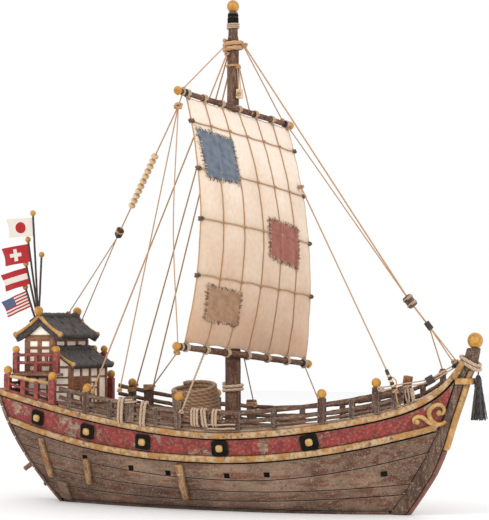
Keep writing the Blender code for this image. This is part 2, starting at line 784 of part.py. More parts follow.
def stern_fence():
    """The red fence along both quarters and across the stern."""
    x_range = RED_FENCE_X
    aft = along_edge(x_range, 0.0, 1)[0]
    base = cap_strip("stern_fence", x_range, -1)
    parts = [cap_strip("stern_cap_port", x_range, 1)]
    across_z = aft[2] + GAP + CAP_HEIGHT / 2
    width = 2 * aft[1] + CAP_WIDTH
    cap_x = aft[0] + STERN_CAP_WIDTH / 2 - GAP
    parts.append(box_mesh("stern_cap", (cap_x, 0.0, across_z), (STERN_CAP_WIDTH, width, CAP_HEIGHT)))
    for label, ups in (("top", RED_TOP_RAIL_UP), ("middle", (RED_MIDDLE_RAIL_UP, RED_MIDDLE_RAIL_UP))):
        starboard = rising_rail(x_range, ups, -1)
        port = rising_rail(x_range, ups, 1)
        route = starboard[::-1] + [(aft[0] - 0.0002, y, starboard[0][2]) for y in (-0.02, 0.0, 0.02)] + port
        parts.append(as_mesh(tube(f"stern_rail_{label}", route, RED_RAIL_R, "red")))
    for side in (-1, 1):
        for i, (x, width, height, has_ball) in enumerate(RED_POSTS):
            foot = post_foot(x, width, side)
            size = (width, min(width, POST_DEPTH), height)
            parts.append(box_mesh(f"red_post_{i}_{side}", foot + Vector((0.0, 0.0, height / 2)), size))
            if has_ball:
                centre = foot + Vector((0.0, 0.0, height + 0.8 * RED_BALL_R))
                parts.append(ball_mesh(f"red_ball_{i}_{side}", centre, RED_BALL_R))
    for i, y in enumerate(STERN_POST_Y):
        centre = Vector((aft[0] + 0.0004, y, across_z + STERN_POST_SIZE[2] / 2))
        parts.append(box_mesh(f"stern_post_{i}", centre, STERN_POST_SIZE))
    join("stern_fence", base, parts, "red")


# Stern castle
def castle():
    aft_x, fore_x = LOWER_HOUSE_X
    top = VERANDA_Z[0] - GAP
    outline = [
        (aft_x, sheer(aft_x) + GAP), (fore_x, sheer(fore_x) + GAP), (fore_x, ANNEX_EAVE_Z),
        (ANNEX_BACK_X, ANNEX_TOP_Z), (ANNEX_BACK_X, top), (aft_x, top),
    ]
    plate_outline("lower_house", outline, HOUSE_HALF, "cream")
    z = sum(VERANDA_Z) / 2
    thick = VERANDA_Z[1] - VERANDA_Z[0]
    aft, fore = VERANDA_X
    base = box_mesh("veranda", ((aft + fore) / 2, 0.0, z), (fore - aft, 2 * VERANDA_HALF, thick))
    wings = []
    wing_aft = fore - VERANDA_WING_LAP
    for side in (-1, 1):
        inner = HOUSE_HALF + VERANDA_WING_CLEAR
        size = (VERANDA_WING_X - wing_aft, VERANDA_HALF - inner, thick)
        centre = ((VERANDA_WING_X + wing_aft) / 2, side * (inner + VERANDA_HALF) / 2, z)
        wings.append(box_mesh(f"wing_{side}", centre, size))
    join("veranda", base, wings, "wood")
    veranda_fence()
    aft, fore = UPPER_HOUSE_X
    floor = VERANDA_Z[1] + GAP
    outline = [
        (aft, floor), (fore, floor), (fore, UPPER_WALL_TOP_Z), (RIDGE_X, RIDGE_Z - ROOF_THICK - ROOF_SAG),
        (aft, UPPER_WALL_TOP_Z),
    ]
    plate_outline("upper_house", outline, UPPER_HOUSE_HALF, "cream")
    upper_roof()
    lower_roof()


def veranda_fence():
    y = VERANDA_HALF - VERANDA_SILL
    aft, fore = VERANDA_POST_X
    middle = (aft + fore) / 2
    floor = VERANDA_Z[1] + GAP
    sill_z = floor + CAP_HEIGHT / 2
    base = box_mesh("veranda_fence", (aft, 0.0, sill_z), (VERANDA_SILL, 2 * y, CAP_HEIGHT))
    parts = []
    for side in (-1, 1):
        sill_size = (fore - aft, VERANDA_SILL, CAP_HEIGHT)
        parts.append(box_mesh(f"sill_{side}", (middle, side * y, sill_z), sill_size))
        for i, (x, width, top) in enumerate((
                (aft, VERANDA_POST_WIDTH, VERANDA_POST_TOP), (middle, VERANDA_SILL, VERANDA_RAILS_Z[1]),
                (fore, VERANDA_POST_WIDTH, VERANDA_POST_TOP))):
            size = (width, width, top - floor)
            parts.append(box_mesh(f"post_{i}_{side}", (x, side * y, (floor + top) / 2), size))
            if top == VERANDA_POST_TOP:
                ball_z = top + 0.8 * VERANDA_BALL_R
                parts.append(ball_mesh(f"post_ball_{i}_{side}", (x, side * y, ball_z), VERANDA_BALL_R))
        for z in VERANDA_RAILS_Z:
            parts.append(rod_mesh(f"rail_{side}_{z}", (aft, side * y, z), (fore, side * y, z), VERANDA_RAIL_R))
    for z in VERANDA_RAILS_Z:
        parts.append(rod_mesh(f"rail_aft_{z}", (aft, -y, z), (aft, y, z), VERANDA_RAIL_R * 0.92))
    join("veranda_fence", base, parts, "red")


def slope(start, end, sag, count=5):
    """Points of a hollow roof slope that runs from the ridge down to an eave."""
    points = []
    for i in range(count + 1):
        s = i / count
        x = start[0] + (end[0] - start[0]) * s
        z = start[1] + (end[1] - start[1]) * s - sag * math.sin(math.pi * s)
        points.append((x, z))
    return points


def outline_mesh(name, outline, y_low, y_high):
    """A flat outline in XZ as a solid between two values of y."""
    bm = bmesh.new()
    low = bm.faces.new([bm.verts.new((x, y_low, z)) for x, z in outline])
    grown = bmesh.ops.extrude_face_region(bm, geom=[low])
    moved = [item for item in grown["geom"] if isinstance(item, bmesh.types.BMVert)]
    bmesh.ops.translate(bm, verts=moved, vec=(0.0, y_high - y_low, 0.0))
    bmesh.ops.triangulate(bm, faces=bm.faces)
    return mesh_of(bm, name)


def gable_board(name, line, thick, side, half, sizes):
    """A gold board along a roof's sloping end, with a knob at its foot."""
    band = [(x, z + sizes["up"]) for x, z in line] + [(x, z - thick - sizes["down"]) for x, z in reversed(line)]
    y = sorted((side * (half - sizes["in"]), side * (half + sizes["out"])))
    x, z = line[-1]
    knob = ball_mesh(f"{name}_knob", (x, side * (half + GAP), z - KNOB_DROP), sizes["knob"])
    return [outline_mesh(name, band, *y), knob]


def upper_roof():
    ridge = (RIDGE_X, RIDGE_Z)
    aft = slope(ridge, (UPPER_ROOF_EAVE_X[0], UPPER_ROOF_EAVE_Z), ROOF_SAG)
    fore = slope(ridge, (UPPER_ROOF_EAVE_X[1], UPPER_ROOF_EAVE_Z), ROOF_SAG)
    top = aft[::-1] + fore[1:]
    outline = top + [(x, z - ROOF_THICK) for x, z in reversed(top)]
    base = outline_mesh("upper_roof", outline, -ROOF_HALF, ROOF_HALF)
    end = ROOF_HALF + RIDGE_BAR_OVER
    bar_z = RIDGE_Z + RIDGE_BAR_UP
    parts = [rod_mesh("ridge_bar", (RIDGE_X, -end, bar_z), (RIDGE_X, end, bar_z), RIDGE_BAR_R)]
    for side in (-1, 1):
        parts.append(ball_mesh(f"ridge_ball_{side}", (RIDGE_X, side * end, RIDGE_Z + ROOF_BALL_UP), ROOF_BALL_R))
        for label, half in (("aft", aft), ("fore", fore)):
            parts += gable_board(f"rake_{label}_{side}", half, ROOF_THICK, side, ROOF_HALF, RAKE)
    join("upper_roof", base, parts, "slate")


def lower_roof():
    back = (ANNEX_BACK_X + LOWER_ROOF_SAG, ANNEX_TOP_Z + LOWER_ROOF_RISE)
    top = slope(back, LOWER_ROOF_EAVE, LOWER_ROOF_SAG)
    outline = top + [(x, z - LOWER_ROOF_THICK) for x, z in reversed(top)]
    half_width = HOUSE_HALF + LOWER_ROOF_OVER
    base = outline_mesh("lower_roof", outline, -half_width, half_width)
    parts = []
    for side in (-1, 1):
        parts += gable_board(f"lower_rake_{side}", top, LOWER_ROOF_THICK, side, half_width, LOWER_RAKE)
        x, z = top[0]
        centre = (x + LOWER_BALL_R, side * half_width, z + 0.8 * LOWER_BALL_R)
        parts.append(ball_mesh(f"lower_ball_{side}", centre, LOWER_BALL_R))
    join("lower_roof", base, parts, "slate")


def flag_staffs():
    """A small block on the roof with five staffs, and the four flags beside them."""
    x, y = STAFF_BLOCK_AT
    drop = (RIDGE_Z - UPPER_ROOF_EAVE_Z) / (RIDGE_X - UPPER_ROOF_EAVE_X[0])
    pitch = math.atan(drop)
    centre_z = RIDGE_Z - drop * (RIDGE_X - x) + STAFF_BLOCK_THICK / 2 / math.cos(pitch)
    turn = Matrix.Rotation(-pitch, 4, "Y")
    base = box_mesh("flag_staffs", (x, y, centre_z), (STAFF_BLOCK_SIDE, STAFF_BLOCK_SIDE, STAFF_BLOCK_THICK), turn)
    parts = []
    staffs = []
    for i, (fx, fy, hx, hy, hz) in enumerate(STAFFS):
        foot = Vector((fx, fy, centre_z + (fx - x) * drop))
        head = Vector((hx, hy, hz))
        staffs.append((foot, head))
        parts.append(rod_mesh(f"staff_{i}", foot, head, STAFF_R))
        parts.append(ball_mesh(f"staff_ball_{i}", head, STAFF_BALL_R))
    join("flag_staffs", base, parts, "dark_wood")
    for i, length, height, down in FLAGS:
        foot, head = staffs[i]
        down_axis = (foot - head).normalized()
        aft = Vector((-1.0, 0.0, 0.0))
        aft = (aft - down_axis * aft.dot(down_axis)).normalized()
        start = head + down_axis * down + aft * (STAFF_R + GAP)
        rings = []
        for s in (0.0, 0.33, 0.66, 1.0):
            top = start + aft * length * s + Vector((0.0, FLAG_WAVE * math.sin(3 * s), 0.0))
            low = top + down_axis * height
            t = Vector((0.0, FLAG_THICK / 2, 0.0))
            rings.append([top - t, top + t, low + t, low - t])
        place(f"flag_{i + 1}", loft_mesh(f"flag_{i + 1}", rings), "white")


# Mast, yards and sail
def mast():
    foot_r = MAST_PROFILE[-1][1]
    foot = max(sheer(-foot_r), sheer(foot_r)) + GAP
    profile = [(0.0, MAST_TOP_Z)] + [(r, z) for z, r in MAST_PROFILE[:-1]] + [(foot_r, foot), (0.0, foot)]
    turned("mast", profile, "wood", 18)
    seated_ball("mast_ball", MAST_BALL_Z, MAST_BALL_R, MAST_TOP_Z)
    tube("mast_collar", helix((0.0, 0.0, COLLAR_Z), COLLAR_RADII, COLLAR_LIFT, 2.0, 14), COLLAR_ROPE_R, "rope")


def brace_axes():
    angle = math.radians(BRACE_DEG)
    ahead = Vector((math.cos(angle), -math.sin(angle), 0.0))
    across = Vector((math.sin(angle), math.cos(angle), 0.0))
    return ahead, across


def yard_point(yard, along):
    ahead, across = brace_axes()
    rise = math.tan(math.radians(yard["tilt"]))
    return ahead * yard["ahead"] + across * along + Vector((0.0, 0.0, yard["z"] + rise * along))


def yard(name, values):
    """A round spar with a ball at each end, turned along its own length."""
    start = yard_point(values, values["ends"][0])
    end = yard_point(values, values["ends"][1])
    length = (end - start).length
    r = values["r"]
    profile = []
    steps = 6
    for i in range(steps):
        angle = math.pi * 0.80 * i / (steps - 1)
        profile.append((YARD_BALL_R * math.sin(angle), length + YARD_BALL_R * math.cos(angle)))
    profile.append((r * 0.75, length - YARD_BALL_R))
    profile.append((r, length / 2))
    profile.append((r * 0.75, YARD_BALL_R))
    for i in range(steps):
        angle = math.pi * (0.20 + 0.80 * i / (steps - 1))
        profile.append((YARD_BALL_R * math.sin(angle), YARD_BALL_R * math.cos(angle)))
    profile[0] = (0.0, profile[0][1])
    profile[-1] = (0.0, profile[-1][1])
    obj = turned(name, profile, "dark_wood", 10)
    obj.location = start
    obj.rotation_mode = "QUATERNION"
    obj.rotation_quaternion = (end - start).to_track_quat("Z", "Y")


def sail_point(u, v):
    """A point of the sail: u runs from starboard to port, v from the head down to the foot."""
    ahead, _ = brace_axes()
    down = Vector((0.0, 0.0, 1.0))
    head = yard_point(UPPER_YARD, SAIL_HEAD[0] + (SAIL_HEAD[1] - SAIL_HEAD[0]) * u)
    foot = yard_point(LOWER_YARD, SAIL_FOOT[0] + (SAIL_FOOT[1] - SAIL_FOOT[0]) * u)
    head -= down * (UPPER_YARD["r"] + GAP * 2 + 0.0002)
    foot += down * (LOWER_YARD["r"] + GAP * 2 + 0.0002)
    edge = SAIL_BELLY_EDGE[0] + (SAIL_BELLY_EDGE[1] - SAIL_BELLY_EDGE[0]) * u
    belly = (edge + SAIL_BELLY_MIDDLE * math.sin(math.pi * u)) * math.sin(math.pi * v) ** 0.9
    return head.lerp(foot, v) + ahead * belly


def sail():
    across, down = SAIL_CELLS
    bm = bmesh.new()
    bmesh.ops.create_grid(bm, x_segments=across, y_segments=down, size=0.5)
    for vert in bm.verts:
        vert.co = sail_point(vert.co.x + 0.5, 0.5 - vert.co.y)
    mesh = bpy.data.meshes.new("sail")
    bm.to_mesh(mesh)
    bm.free()
    obj = place("sail", mesh, "cream")
    solid = obj.modifiers.new("thickness", "SOLIDIFY")
    solid.thickness = SAIL_THICK
    solid.offset = 0.0


def parrel(name, yard_values, mast_r):
    """A rope that passes behind the mast and holds the yard on both sides."""
    ahead, across = brace_axes()
    radius = mast_r + GAP * 2 + PARREL_R
    arm = yard_values["ahead"] - yard_values["r"] - GAP * 2
    base = Vector((0.0, 0.0, yard_values["z"]))
    route = [base + ahead * arm - across * radius]
    count = 10
    for i in range(count + 1):
        angle = -math.pi / 2 - math.pi * i / count
        route.append(base + ahead * radius * math.cos(angle) + across * radius * math.sin(angle))
    route.append(base + ahead * arm + across * radius)
    tube(name, route, PARREL_R, "rope")


# Deck gear and standing rigging
def rope_coil():
    """The coil as one ring whose top slants down to starboard."""
    x, y = COIL_AT
    floor = max(sheer(x - COIL_R[1]), sheer(x + COIL_R[1])) + GAP
    inner, outer = COIL_R
    low, high = COIL_HEIGHT
    sides = 24
    rings = []
    for i in range(sides):
        angle = 2 * math.pi * i / sides
        across, along = math.sin(angle), math.cos(angle)
        ring = []
        for r, on_top in ((inner, False), (outer, False), (outer, True), (inner, True)):
            top = floor + (low + high) / 2 + (high - low) / 2 * across * r / outer
            ring.append((x + r * along, y + r * across, top if on_top else floor))
        rings.append(ring)
    bm = bmesh.new()
    rows = [[bm.verts.new(point) for point in ring] for ring in rings]
    for i in range(sides):
        near, far = rows[i], rows[(i + 1) % sides]
        for k in range(4):
            j = (k + 1) % 4
            bm.faces.new((near[k], near[j], far[j], far[k]))
    bmesh.ops.triangulate(bm, faces=bm.faces)
    place("rope_coil", mesh_of(bm, "rope_coil"), "rope")


def bollard():
    """A square post whose foot is cut to the slope of the deck."""
    x, y = BOLLARD_AT
    half = BOLLARD_SIZE / 2
    corners = ((-half, -half), (half, -half), (half, half), (-half, half))
    top = sheer(x) + BOLLARD_HEIGHT
    foot = [(x + dx, y + dy, sheer(x + dx) + GAP) for dx, dy in corners]
    head = [(x + dx, y + dy, top) for dx, dy in corners]
    place("bow_bollard", loft_mesh("bow_bollard", [foot, head]), "wood")


def stays():
    block, knot = Vector(FORESTAY_BLOCK), Vector(FORESTAY_KNOT)
    top = Vector(FORESTAY_TOP)
    base = as_mesh(tube("forestay_line", [top, block, knot], STAY_R, "rope"))
    direction = (knot - block).normalized()
    turn = direction.to_track_quat("X", "Z").to_matrix().to_4x4()
    parts = [
        box_mesh("deadeye", block, DEADEYE_SIZE, turn),
        box_mesh("lashed_eye", knot, LASHED_EYE_SIZE, turn),
    ]
    for i, leg in enumerate(FORESTAY_LEGS):
        parts.append(as_mesh(tube(f"leg_{i}", [knot, *leg], STAY_R, "rope")))
    join("forestay", base, parts, "rope")
    for name, (x, kind, height), side, bearing in SHROUDS:
        y = side * (edge_y(x) - POST_INSET)
        angle = math.radians(bearing)
        top = Vector((-SHROUD_TOP_R * math.cos(angle), side * SHROUD_TOP_R * math.sin(angle), SHROUD_TOP_Z))
        foot_x = x + max(POST_WIDTH[kind] / 2, FENCE_BALL_R) + STAY_R + GAP
        over_rail = TOP_RAIL_UP + RAIL_R + STAY_R + 2 * GAP
        foot = Vector((foot_x, y - side * STAY_R, sheer(x) + max(height - FOOT_BELOW_TOP, over_rail)))
        tube(name, [top, top.lerp(foot, 0.5), foot], STAY_R, "rope")


clear_scene()
SHIP = collection("trading_ship_model")
HELPERS = collection("helpers")
hull()
deck()
transom()
stem()
bow_rope()
fence("fence_starboard", WOOD_POSTS_STARBOARD, WOOD_FENCE_X, -1, "wood")
fence("fence_port", WOOD_POSTS_PORT, WOOD_FENCE_X, 1, "wood")
stern_fence()
castle()
flag_staffs()
mast()
yard("upper_yard", UPPER_YARD)
yard("lower_yard", LOWER_YARD)
sail()
parrel("upper_parrel", UPPER_YARD, MAST_R_AT_YARDS[1])
parrel("lower_parrel", LOWER_YARD, MAST_R_AT_YARDS[0])
rope_coil()
bollard()
stays()
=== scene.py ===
# %% [markdown]
# # A model trading ship
# The object is a handmade wooden model of a square-rigged trader: a planked hull with red and gold trim,
# rope-lashed railings, a small castle at the stern, one mast with a patched sail, and a good deal of twine.
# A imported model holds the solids. This lesson dresses them: it loads the solids as a fixed frame, models
# the fine pieces around them and gives every surface a material made of nodes.
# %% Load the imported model
import math
import random

import bmesh
import bpy
import numpy as np
from mathutils import Matrix, Vector, noise


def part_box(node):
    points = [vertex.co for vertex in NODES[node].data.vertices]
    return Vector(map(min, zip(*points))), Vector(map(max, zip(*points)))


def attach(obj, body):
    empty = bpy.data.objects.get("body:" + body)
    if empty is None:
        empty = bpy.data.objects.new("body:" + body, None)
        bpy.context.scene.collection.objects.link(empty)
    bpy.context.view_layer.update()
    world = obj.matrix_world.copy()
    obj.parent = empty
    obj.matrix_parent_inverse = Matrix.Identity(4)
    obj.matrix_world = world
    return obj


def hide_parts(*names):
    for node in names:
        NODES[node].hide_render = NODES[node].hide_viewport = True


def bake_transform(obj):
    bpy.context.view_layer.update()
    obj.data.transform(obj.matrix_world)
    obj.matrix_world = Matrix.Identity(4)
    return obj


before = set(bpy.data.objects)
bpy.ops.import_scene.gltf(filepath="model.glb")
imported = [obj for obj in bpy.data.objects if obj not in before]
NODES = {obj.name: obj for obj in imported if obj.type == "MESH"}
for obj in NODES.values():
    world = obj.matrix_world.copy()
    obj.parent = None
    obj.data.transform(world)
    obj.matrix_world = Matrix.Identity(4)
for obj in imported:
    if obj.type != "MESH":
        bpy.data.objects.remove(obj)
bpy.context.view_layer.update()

# %% [markdown]
# ## The camera
# A photographer stood a little forward of the ship's side and just above its rail, and used a long lens
# from about a metre and a half away. A camera could be aimed with a constraint, but two angles are enough
# here: the bearing, and a slight upward tilt that leaves room for the mast. The focal length makes one
# picture element 0.9 mm at the mast.
# %% Camera
PICTURE = (489, 520)
CAMERA_DISTANCE = 1.60
CAMERA_BEARING = math.radians(25)
CAMERA_HEIGHT = 0.155
CAMERA_TILT = math.radians(2.382)
CAMERA_TURN = math.radians(24.629)
METRES_PER_PIXEL = 0.0009
SENSOR = 36.0

lens_data = bpy.data.cameras.new("camera")
lens_data.sensor_width = SENSOR
lens_data.lens = SENSOR * CAMERA_DISTANCE / METRES_PER_PIXEL / max(PICTURE)
camera = bpy.data.objects.new("camera", lens_data)
bpy.context.scene.collection.objects.link(camera)
camera.location = (
    CAMERA_DISTANCE * math.sin(CAMERA_BEARING),
    -CAMERA_DISTANCE * math.cos(CAMERA_BEARING),
    CAMERA_HEIGHT,
)
camera.rotation_euler = (math.pi / 2 + CAMERA_TILT, 0.0, CAMERA_TURN)
bpy.context.scene.camera = camera
print(f"lens {lens_data.lens:.1f} mm")

# %% [markdown]
# ## Clean steps
# Every operator acts on what is selected, so each piece starts from an empty selection. A finished piece
# has its place in its mesh, a name, a material, and a body of the model to ride on. These few helpers do
# that work, and the rest of the lesson stays about shapes.
# %% Helpers for pieces
def deselect():
    if bpy.context.mode != "OBJECT":
        bpy.ops.object.mode_set(mode="OBJECT")
    bpy.ops.object.select_all(action="DESELECT")


def only(obj):
    deselect()
    obj.select_set(True)
    bpy.context.view_layer.objects.active = obj
    return obj


def start_edit(obj):
    """Opens a piece for editing, with everything in it selected."""
    only(obj)
    bpy.ops.object.mode_set(mode="EDIT")
    bpy.ops.mesh.select_all(action="SELECT")


def end_edit(obj):
    bpy.ops.object.mode_set(mode="OBJECT")
    return obj


def choose(obj, kind, wanted):
    """In a piece that is open for editing, selects only the faces or edges that pass a test."""
    bpy.ops.mesh.select_all(action="DESELECT")
    bm = bmesh.from_edit_mesh(obj.data)
    for element in getattr(bm, kind):
        element.select_set(wanted(element))
    bmesh.update_edit_mesh(obj.data)


def fix_place(obj):
    """Puts the object's place, turn and size into its mesh."""
    only(obj)
    bpy.ops.object.transform_apply(location=True, rotation=True, scale=True)
    return obj


def apply_modifiers(obj):
    only(obj)
    for modifier in list(obj.modifiers):
        bpy.ops.object.modifier_apply(modifier=modifier.name)
    return obj


def round_edges(obj, width, segments=2, angle=35):
    modifier = obj.modifiers.new("round", "BEVEL")
    modifier.width = width
    modifier.segments = segments
    modifier.limit_method = "ANGLE"
    modifier.angle_limit = math.radians(angle)
    return apply_modifiers(obj)


def smooth(obj, angle=40):
    only(obj)
    bpy.ops.object.shade_smooth_by_angle(angle=math.radians(angle))
    return obj


def join(parts, name):
    """Makes one piece of many, with all their materials."""
    deselect()
    for part in parts:
        part.select_set(True)
    bpy.context.view_layer.objects.active = parts[0]
    if len(parts) > 1:
        bpy.ops.object.join()
    parts[0].name = name
    return parts[0]


def paint(obj, material):
    obj.data.materials.clear()
    obj.data.materials.append(material)
    return obj


def finish_piece(obj, name, body, slot, *stands_for):
    """Names a piece, lets it ride on a body, and hides the solids that it stands for."""
    obj.name = name
    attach(obj, body)
    if stands_for:
        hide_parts(*stands_for)
    return obj


def finish_balls(balls, name, body="hull"):
    return finish_piece(paint(join(balls, "balls"), GOLD_BALL), name, body, "gold_paint")


WELD_DISTANCE, FLAT_ANGLE = 0.00001, math.radians(0.4)


def solid_copy(node):
    """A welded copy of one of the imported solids, ready to be worked on."""
    obj = NODES[node].copy()
    obj.data = NODES[node].data.copy()
    for key in list(obj.keys()):
        del obj[key]
    obj.parent = None
    bpy.context.scene.collection.objects.link(obj)
    start_edit(obj)
    bpy.ops.mesh.remove_doubles(threshold=WELD_DISTANCE)
    bpy.ops.mesh.dissolve_limited(angle_limit=FLAT_ANGLE)
    return end_edit(obj)


# The carving noise follows the clock unless it is given a seed, and then no two runs give the same wood
CARVING_SEED = 1
noise.seed_set(CARVING_SEED)


def whittle(obj, depth, size, seed=0.0):
    """Moves the surface a little by noise, as a knife leaves it."""
    shift = Vector((seed * 7.3, seed * 3.1, seed))
    for vertex in obj.data.vertices:
        vertex.co += noise.noise_vector(vertex.co / size + shift) * depth
    obj.data.update()
    return obj


def whittled(obj, material, depth, size, seed=0.0, angle=40):
    """A piece that a knife has gone over, painted and shaded."""
    return smooth(paint(whittle(obj, depth, size, seed), material), angle)


def raised(z):
    return Vector((0.0, 0.0, z))


def facing(direction):
    """A turn that takes Z to a direction."""
    return direction.to_track_quat("Z", "Y").to_matrix()


def length_of(points):
    return sum((Vector(q) - Vector(p)).length for p, q in zip(points, points[1:]))


# %% [markdown]
# ## Plain wooden stock
# Posts, rails and battens all start as a block or a round bar. A cube gets its edges broken by a bevel,
# because real sawn wood never ends in a perfect corner, and a knife's marks come from a little noise. A bar
# is a cylinder that is subdivided along its length first, so that it can bend and taper.
# %% Blocks, bars and balls
# Of a ball: where its neck starts and how far it goes, in radii, the neck's flare, and the egg shape
NECK_FROM, NECK_REACH, NECK_FLARE, EGG = -0.93, -0.12, (1.15, 1.15, 0.3), 1.04


def plain_box(centre, size, turn=None):
    bpy.ops.mesh.primitive_cube_add(size=1.0)
    obj = bpy.context.object
    place = Matrix.Translation(centre) @ (turn or Matrix.Identity(4))
    obj.matrix_world = place @ Matrix.Diagonal((*size, 1.0))
    return fix_place(obj)


def block(centre, size, turn=None, edge=0.0005, cuts=0):
    """A box with broken edges. The cuts leave room for a knife's marks."""
    obj = plain_box(centre, size, turn)
    if cuts:
        start_edit(obj)
        bpy.ops.mesh.subdivide(number_cuts=cuts)
        end_edit(obj)
    return round_edges(obj, edge)


def cut_rings(obj, places, axis):
    """Cuts a straight piece across, so that it can bend there."""
    start_edit(obj)
    for place in places:
        bpy.ops.mesh.select_all(action="SELECT")
        bpy.ops.mesh.bisect(plane_co=place, plane_no=axis)
    return end_edit(obj)


def bar(start, end, radius, sides=10, cuts=4, end_radius=None):
    """A round bar with softened ends, that may taper."""
    start, end = Vector(start), Vector(end)
    bpy.ops.mesh.primitive_cone_add(
        vertices=sides, radius1=radius, radius2=end_radius or radius, depth=(end - start).length)
    obj = bpy.context.object
    obj.matrix_world = Matrix.Translation((start + end) / 2) @ facing(end - start).to_4x4()
    fix_place(obj)
    rings = [start.lerp(end, i / (cuts + 1)) for i in range(1, cuts + 1)]
    return cut_rings(obj, rings, (end - start).normalized()) if rings else obj


def ball(centre, radius, segments=20):
    """A turned ball on a short neck, a hair egg-shaped as hand-turned balls are."""
    bpy.ops.mesh.primitive_uv_sphere_add(segments=segments, ring_count=segments // 2 + 1, radius=radius)
    obj = bpy.context.object
    start_edit(obj)
    choose(obj, "faces", lambda face: face.calc_center_median().z < NECK_FROM * radius)
    bpy.ops.mesh.extrude_region_move(TRANSFORM_OT_translate={"value": (0.0, 0.0, NECK_REACH * radius)})
    bpy.ops.transform.resize(value=NECK_FLARE)
    end_edit(obj)
    obj.matrix_world = Matrix.Translation(centre) @ Matrix.Diagonal((1.0, 1.0, EGG, 1.0))
    return smooth(fix_place(obj), 50)


# %% [markdown]
# ## Twisted rope
# A laid rope is three strands wound round each other, and its outline shows it even when the rope is thin.
# A plain tube with a bump would lose that outline, and three separate strands would triple the faces. Here
# one tube has a three-lobed section that turns as it goes, which looks the same from outside. Each point
# also stores how deep it lies between the strands, so that the material can darken the grooves with painted
# shade.
# %% Rope
STRANDS = 3
CURVE_STEPS = 12
WINDING_STEPS = 14
KNOT_POINTS = 27


def smooth_route(points, step):
    """Points a step apart along a smooth curve through the given ones."""
    points = [Vector(p) for p in points]
    if len(points) == 2:
        fine = points
    else:
        fine = []
        padded = [points[0] * 2 - points[1], *points, points[-1] * 2 - points[-2]]
        for a, b, c, d in zip(padded, padded[1:], padded[2:], padded[3:]):
            for i in range(CURVE_STEPS):
                t = i / CURVE_STEPS
                fine.append(0.5 * (2 * b + (c - a) * t + (2 * a - 5 * b + 4 * c - d) * t * t
                                   + (3 * b - a - 3 * c + d) * t * t * t))
        fine.append(points[-1])
    lengths = [0.0]
    for p, q in zip(fine, fine[1:]):
        lengths.append(lengths[-1] + (q - p).length)
    count = max(2, round(lengths[-1] / step) + 1)
    wanted = np.linspace(0.0, lengths[-1], count)
    return np.column_stack([np.interp(wanted, lengths, [p[k] for p in fine]) for k in range(3)])


def rope(name, points, diameter, material, sides=6, pitch=4.5, steps=12, depth=0.22):
    """A laid rope along a smooth route. It returns the object, with its place in its mesh."""
    route = smooth_route(points, diameter * pitch / steps)
    count = len(route)
    along = np.gradient(route, axis=0)
    along /= np.linalg.norm(along, axis=1)[:, None]
    side = np.cross(along[0], (0.0, 0.0, 1.0) if abs(along[0][2]) < 0.9 else (1.0, 0.0, 0.0))
    sections = []
    for i in range(count):
        side = side - along[i] * side.dot(along[i])
        side /= np.linalg.norm(side)
        sections.append((side, np.cross(along[i], side)))
    across = np.array([s[0] for s in sections])
    upward = np.array([s[1] for s in sections])
    spin = 2 * math.pi * np.arange(count)[:, None] / steps
    angle = 2 * math.pi * np.arange(sides)[None, :] / sides
    lobe = (1 + np.cos(STRANDS * angle)) / 2 + 0 * spin
    radius = diameter / 2 * (1 - depth * (1 - lobe))
    turn = angle + spin
    ring = (route[:, None, :] + (radius * np.cos(turn))[:, :, None] * across[:, None, :]
            + (radius * np.sin(turn))[:, :, None] * upward[:, None, :])
    index = np.arange(count * sides).reshape(count, sides)
    nearer, further = index[:-1], index[1:]
    corners = [nearer, np.roll(nearer, -1, 1), np.roll(further, -1, 1), further]
    faces = np.stack(corners, -1).reshape(-1, 4).tolist()
    faces += [index[0][::-1].tolist(), index[-1].tolist()]
    mesh = bpy.data.meshes.new(name)
    mesh.from_pydata(ring.reshape(-1, 3).tolist(), [], faces)
    # How deep each point lies between the strands, which the finishes darken as painted shade
    groove = mesh.attributes.new("groove", "FLOAT", "POINT")
    groove.data.foreach_set("value", (1 - lobe).reshape(-1).astype(np.float32))
    mesh.polygons.foreach_set("use_smooth", [True] * len(mesh.polygons))
    mesh.materials.append(material)
    obj = bpy.data.objects.new(name, mesh)
    bpy.context.scene.collection.objects.link(obj)
    return obj


def winding(centre, axis, radius, turns, diameter, material, wide=None):
    """A rope wound closely round a post or spar."""
    turn = facing(Vector(axis).normalized())
    points = []
    for i in range(int(turns * WINDING_STEPS) + 1):
        angle = 2 * math.pi * i / WINDING_STEPS
        rise = diameter * (i / WINDING_STEPS - turns / 2)
        point = Vector((radius * math.cos(angle), (wide or radius) * math.sin(angle), rise))
        points.append(Vector(centre) + turn @ point)
    return rope("winding", points, diameter, material, 9)


def knot(centre, size, material, seed=0):
    """A small tied knot: three loops of line pulled tight."""
    centre = Vector(centre)
    points = []
    for i in range(KNOT_POINTS + 1):
        angle = 2 * math.pi * i / KNOT_POINTS * 2.98
        reach = 1.0 + 0.35 * math.cos(1.5 * angle)
        x, y = reach * math.cos(angle + seed), reach * math.sin(angle + seed) * 0.8
        points.append(centre + size * Vector((x, y, 0.75 * math.sin(1.5 * angle))))
    return rope("knot", points, size * 0.95, material, 6)


# %% [markdown]
# ## Effects that many finishes share
# Aged wood, chipped paint and rubbed edges show on nearly every piece of this ship, and so does a darkening
# in its corners that is partly settled dirt and partly painted shade. Each is a node group, built once, with
# sockets for what differs from one finish to the next. A group only puts out masks and heights: the shader
# itself stays in the material, where it can be read when the model is exported.
# %% Tools for node trees
def tint(code):
    """A colour written as six hexadecimal digits, as the linear values that shaders use."""
    values = [int(code[i:i + 2], 16) / 255 for i in (0, 2, 4)]
    return (*[v / 12.92 if v <= 0.04045 else ((v + 0.055) / 1.055) ** 2.4 for v in values], 1.0)


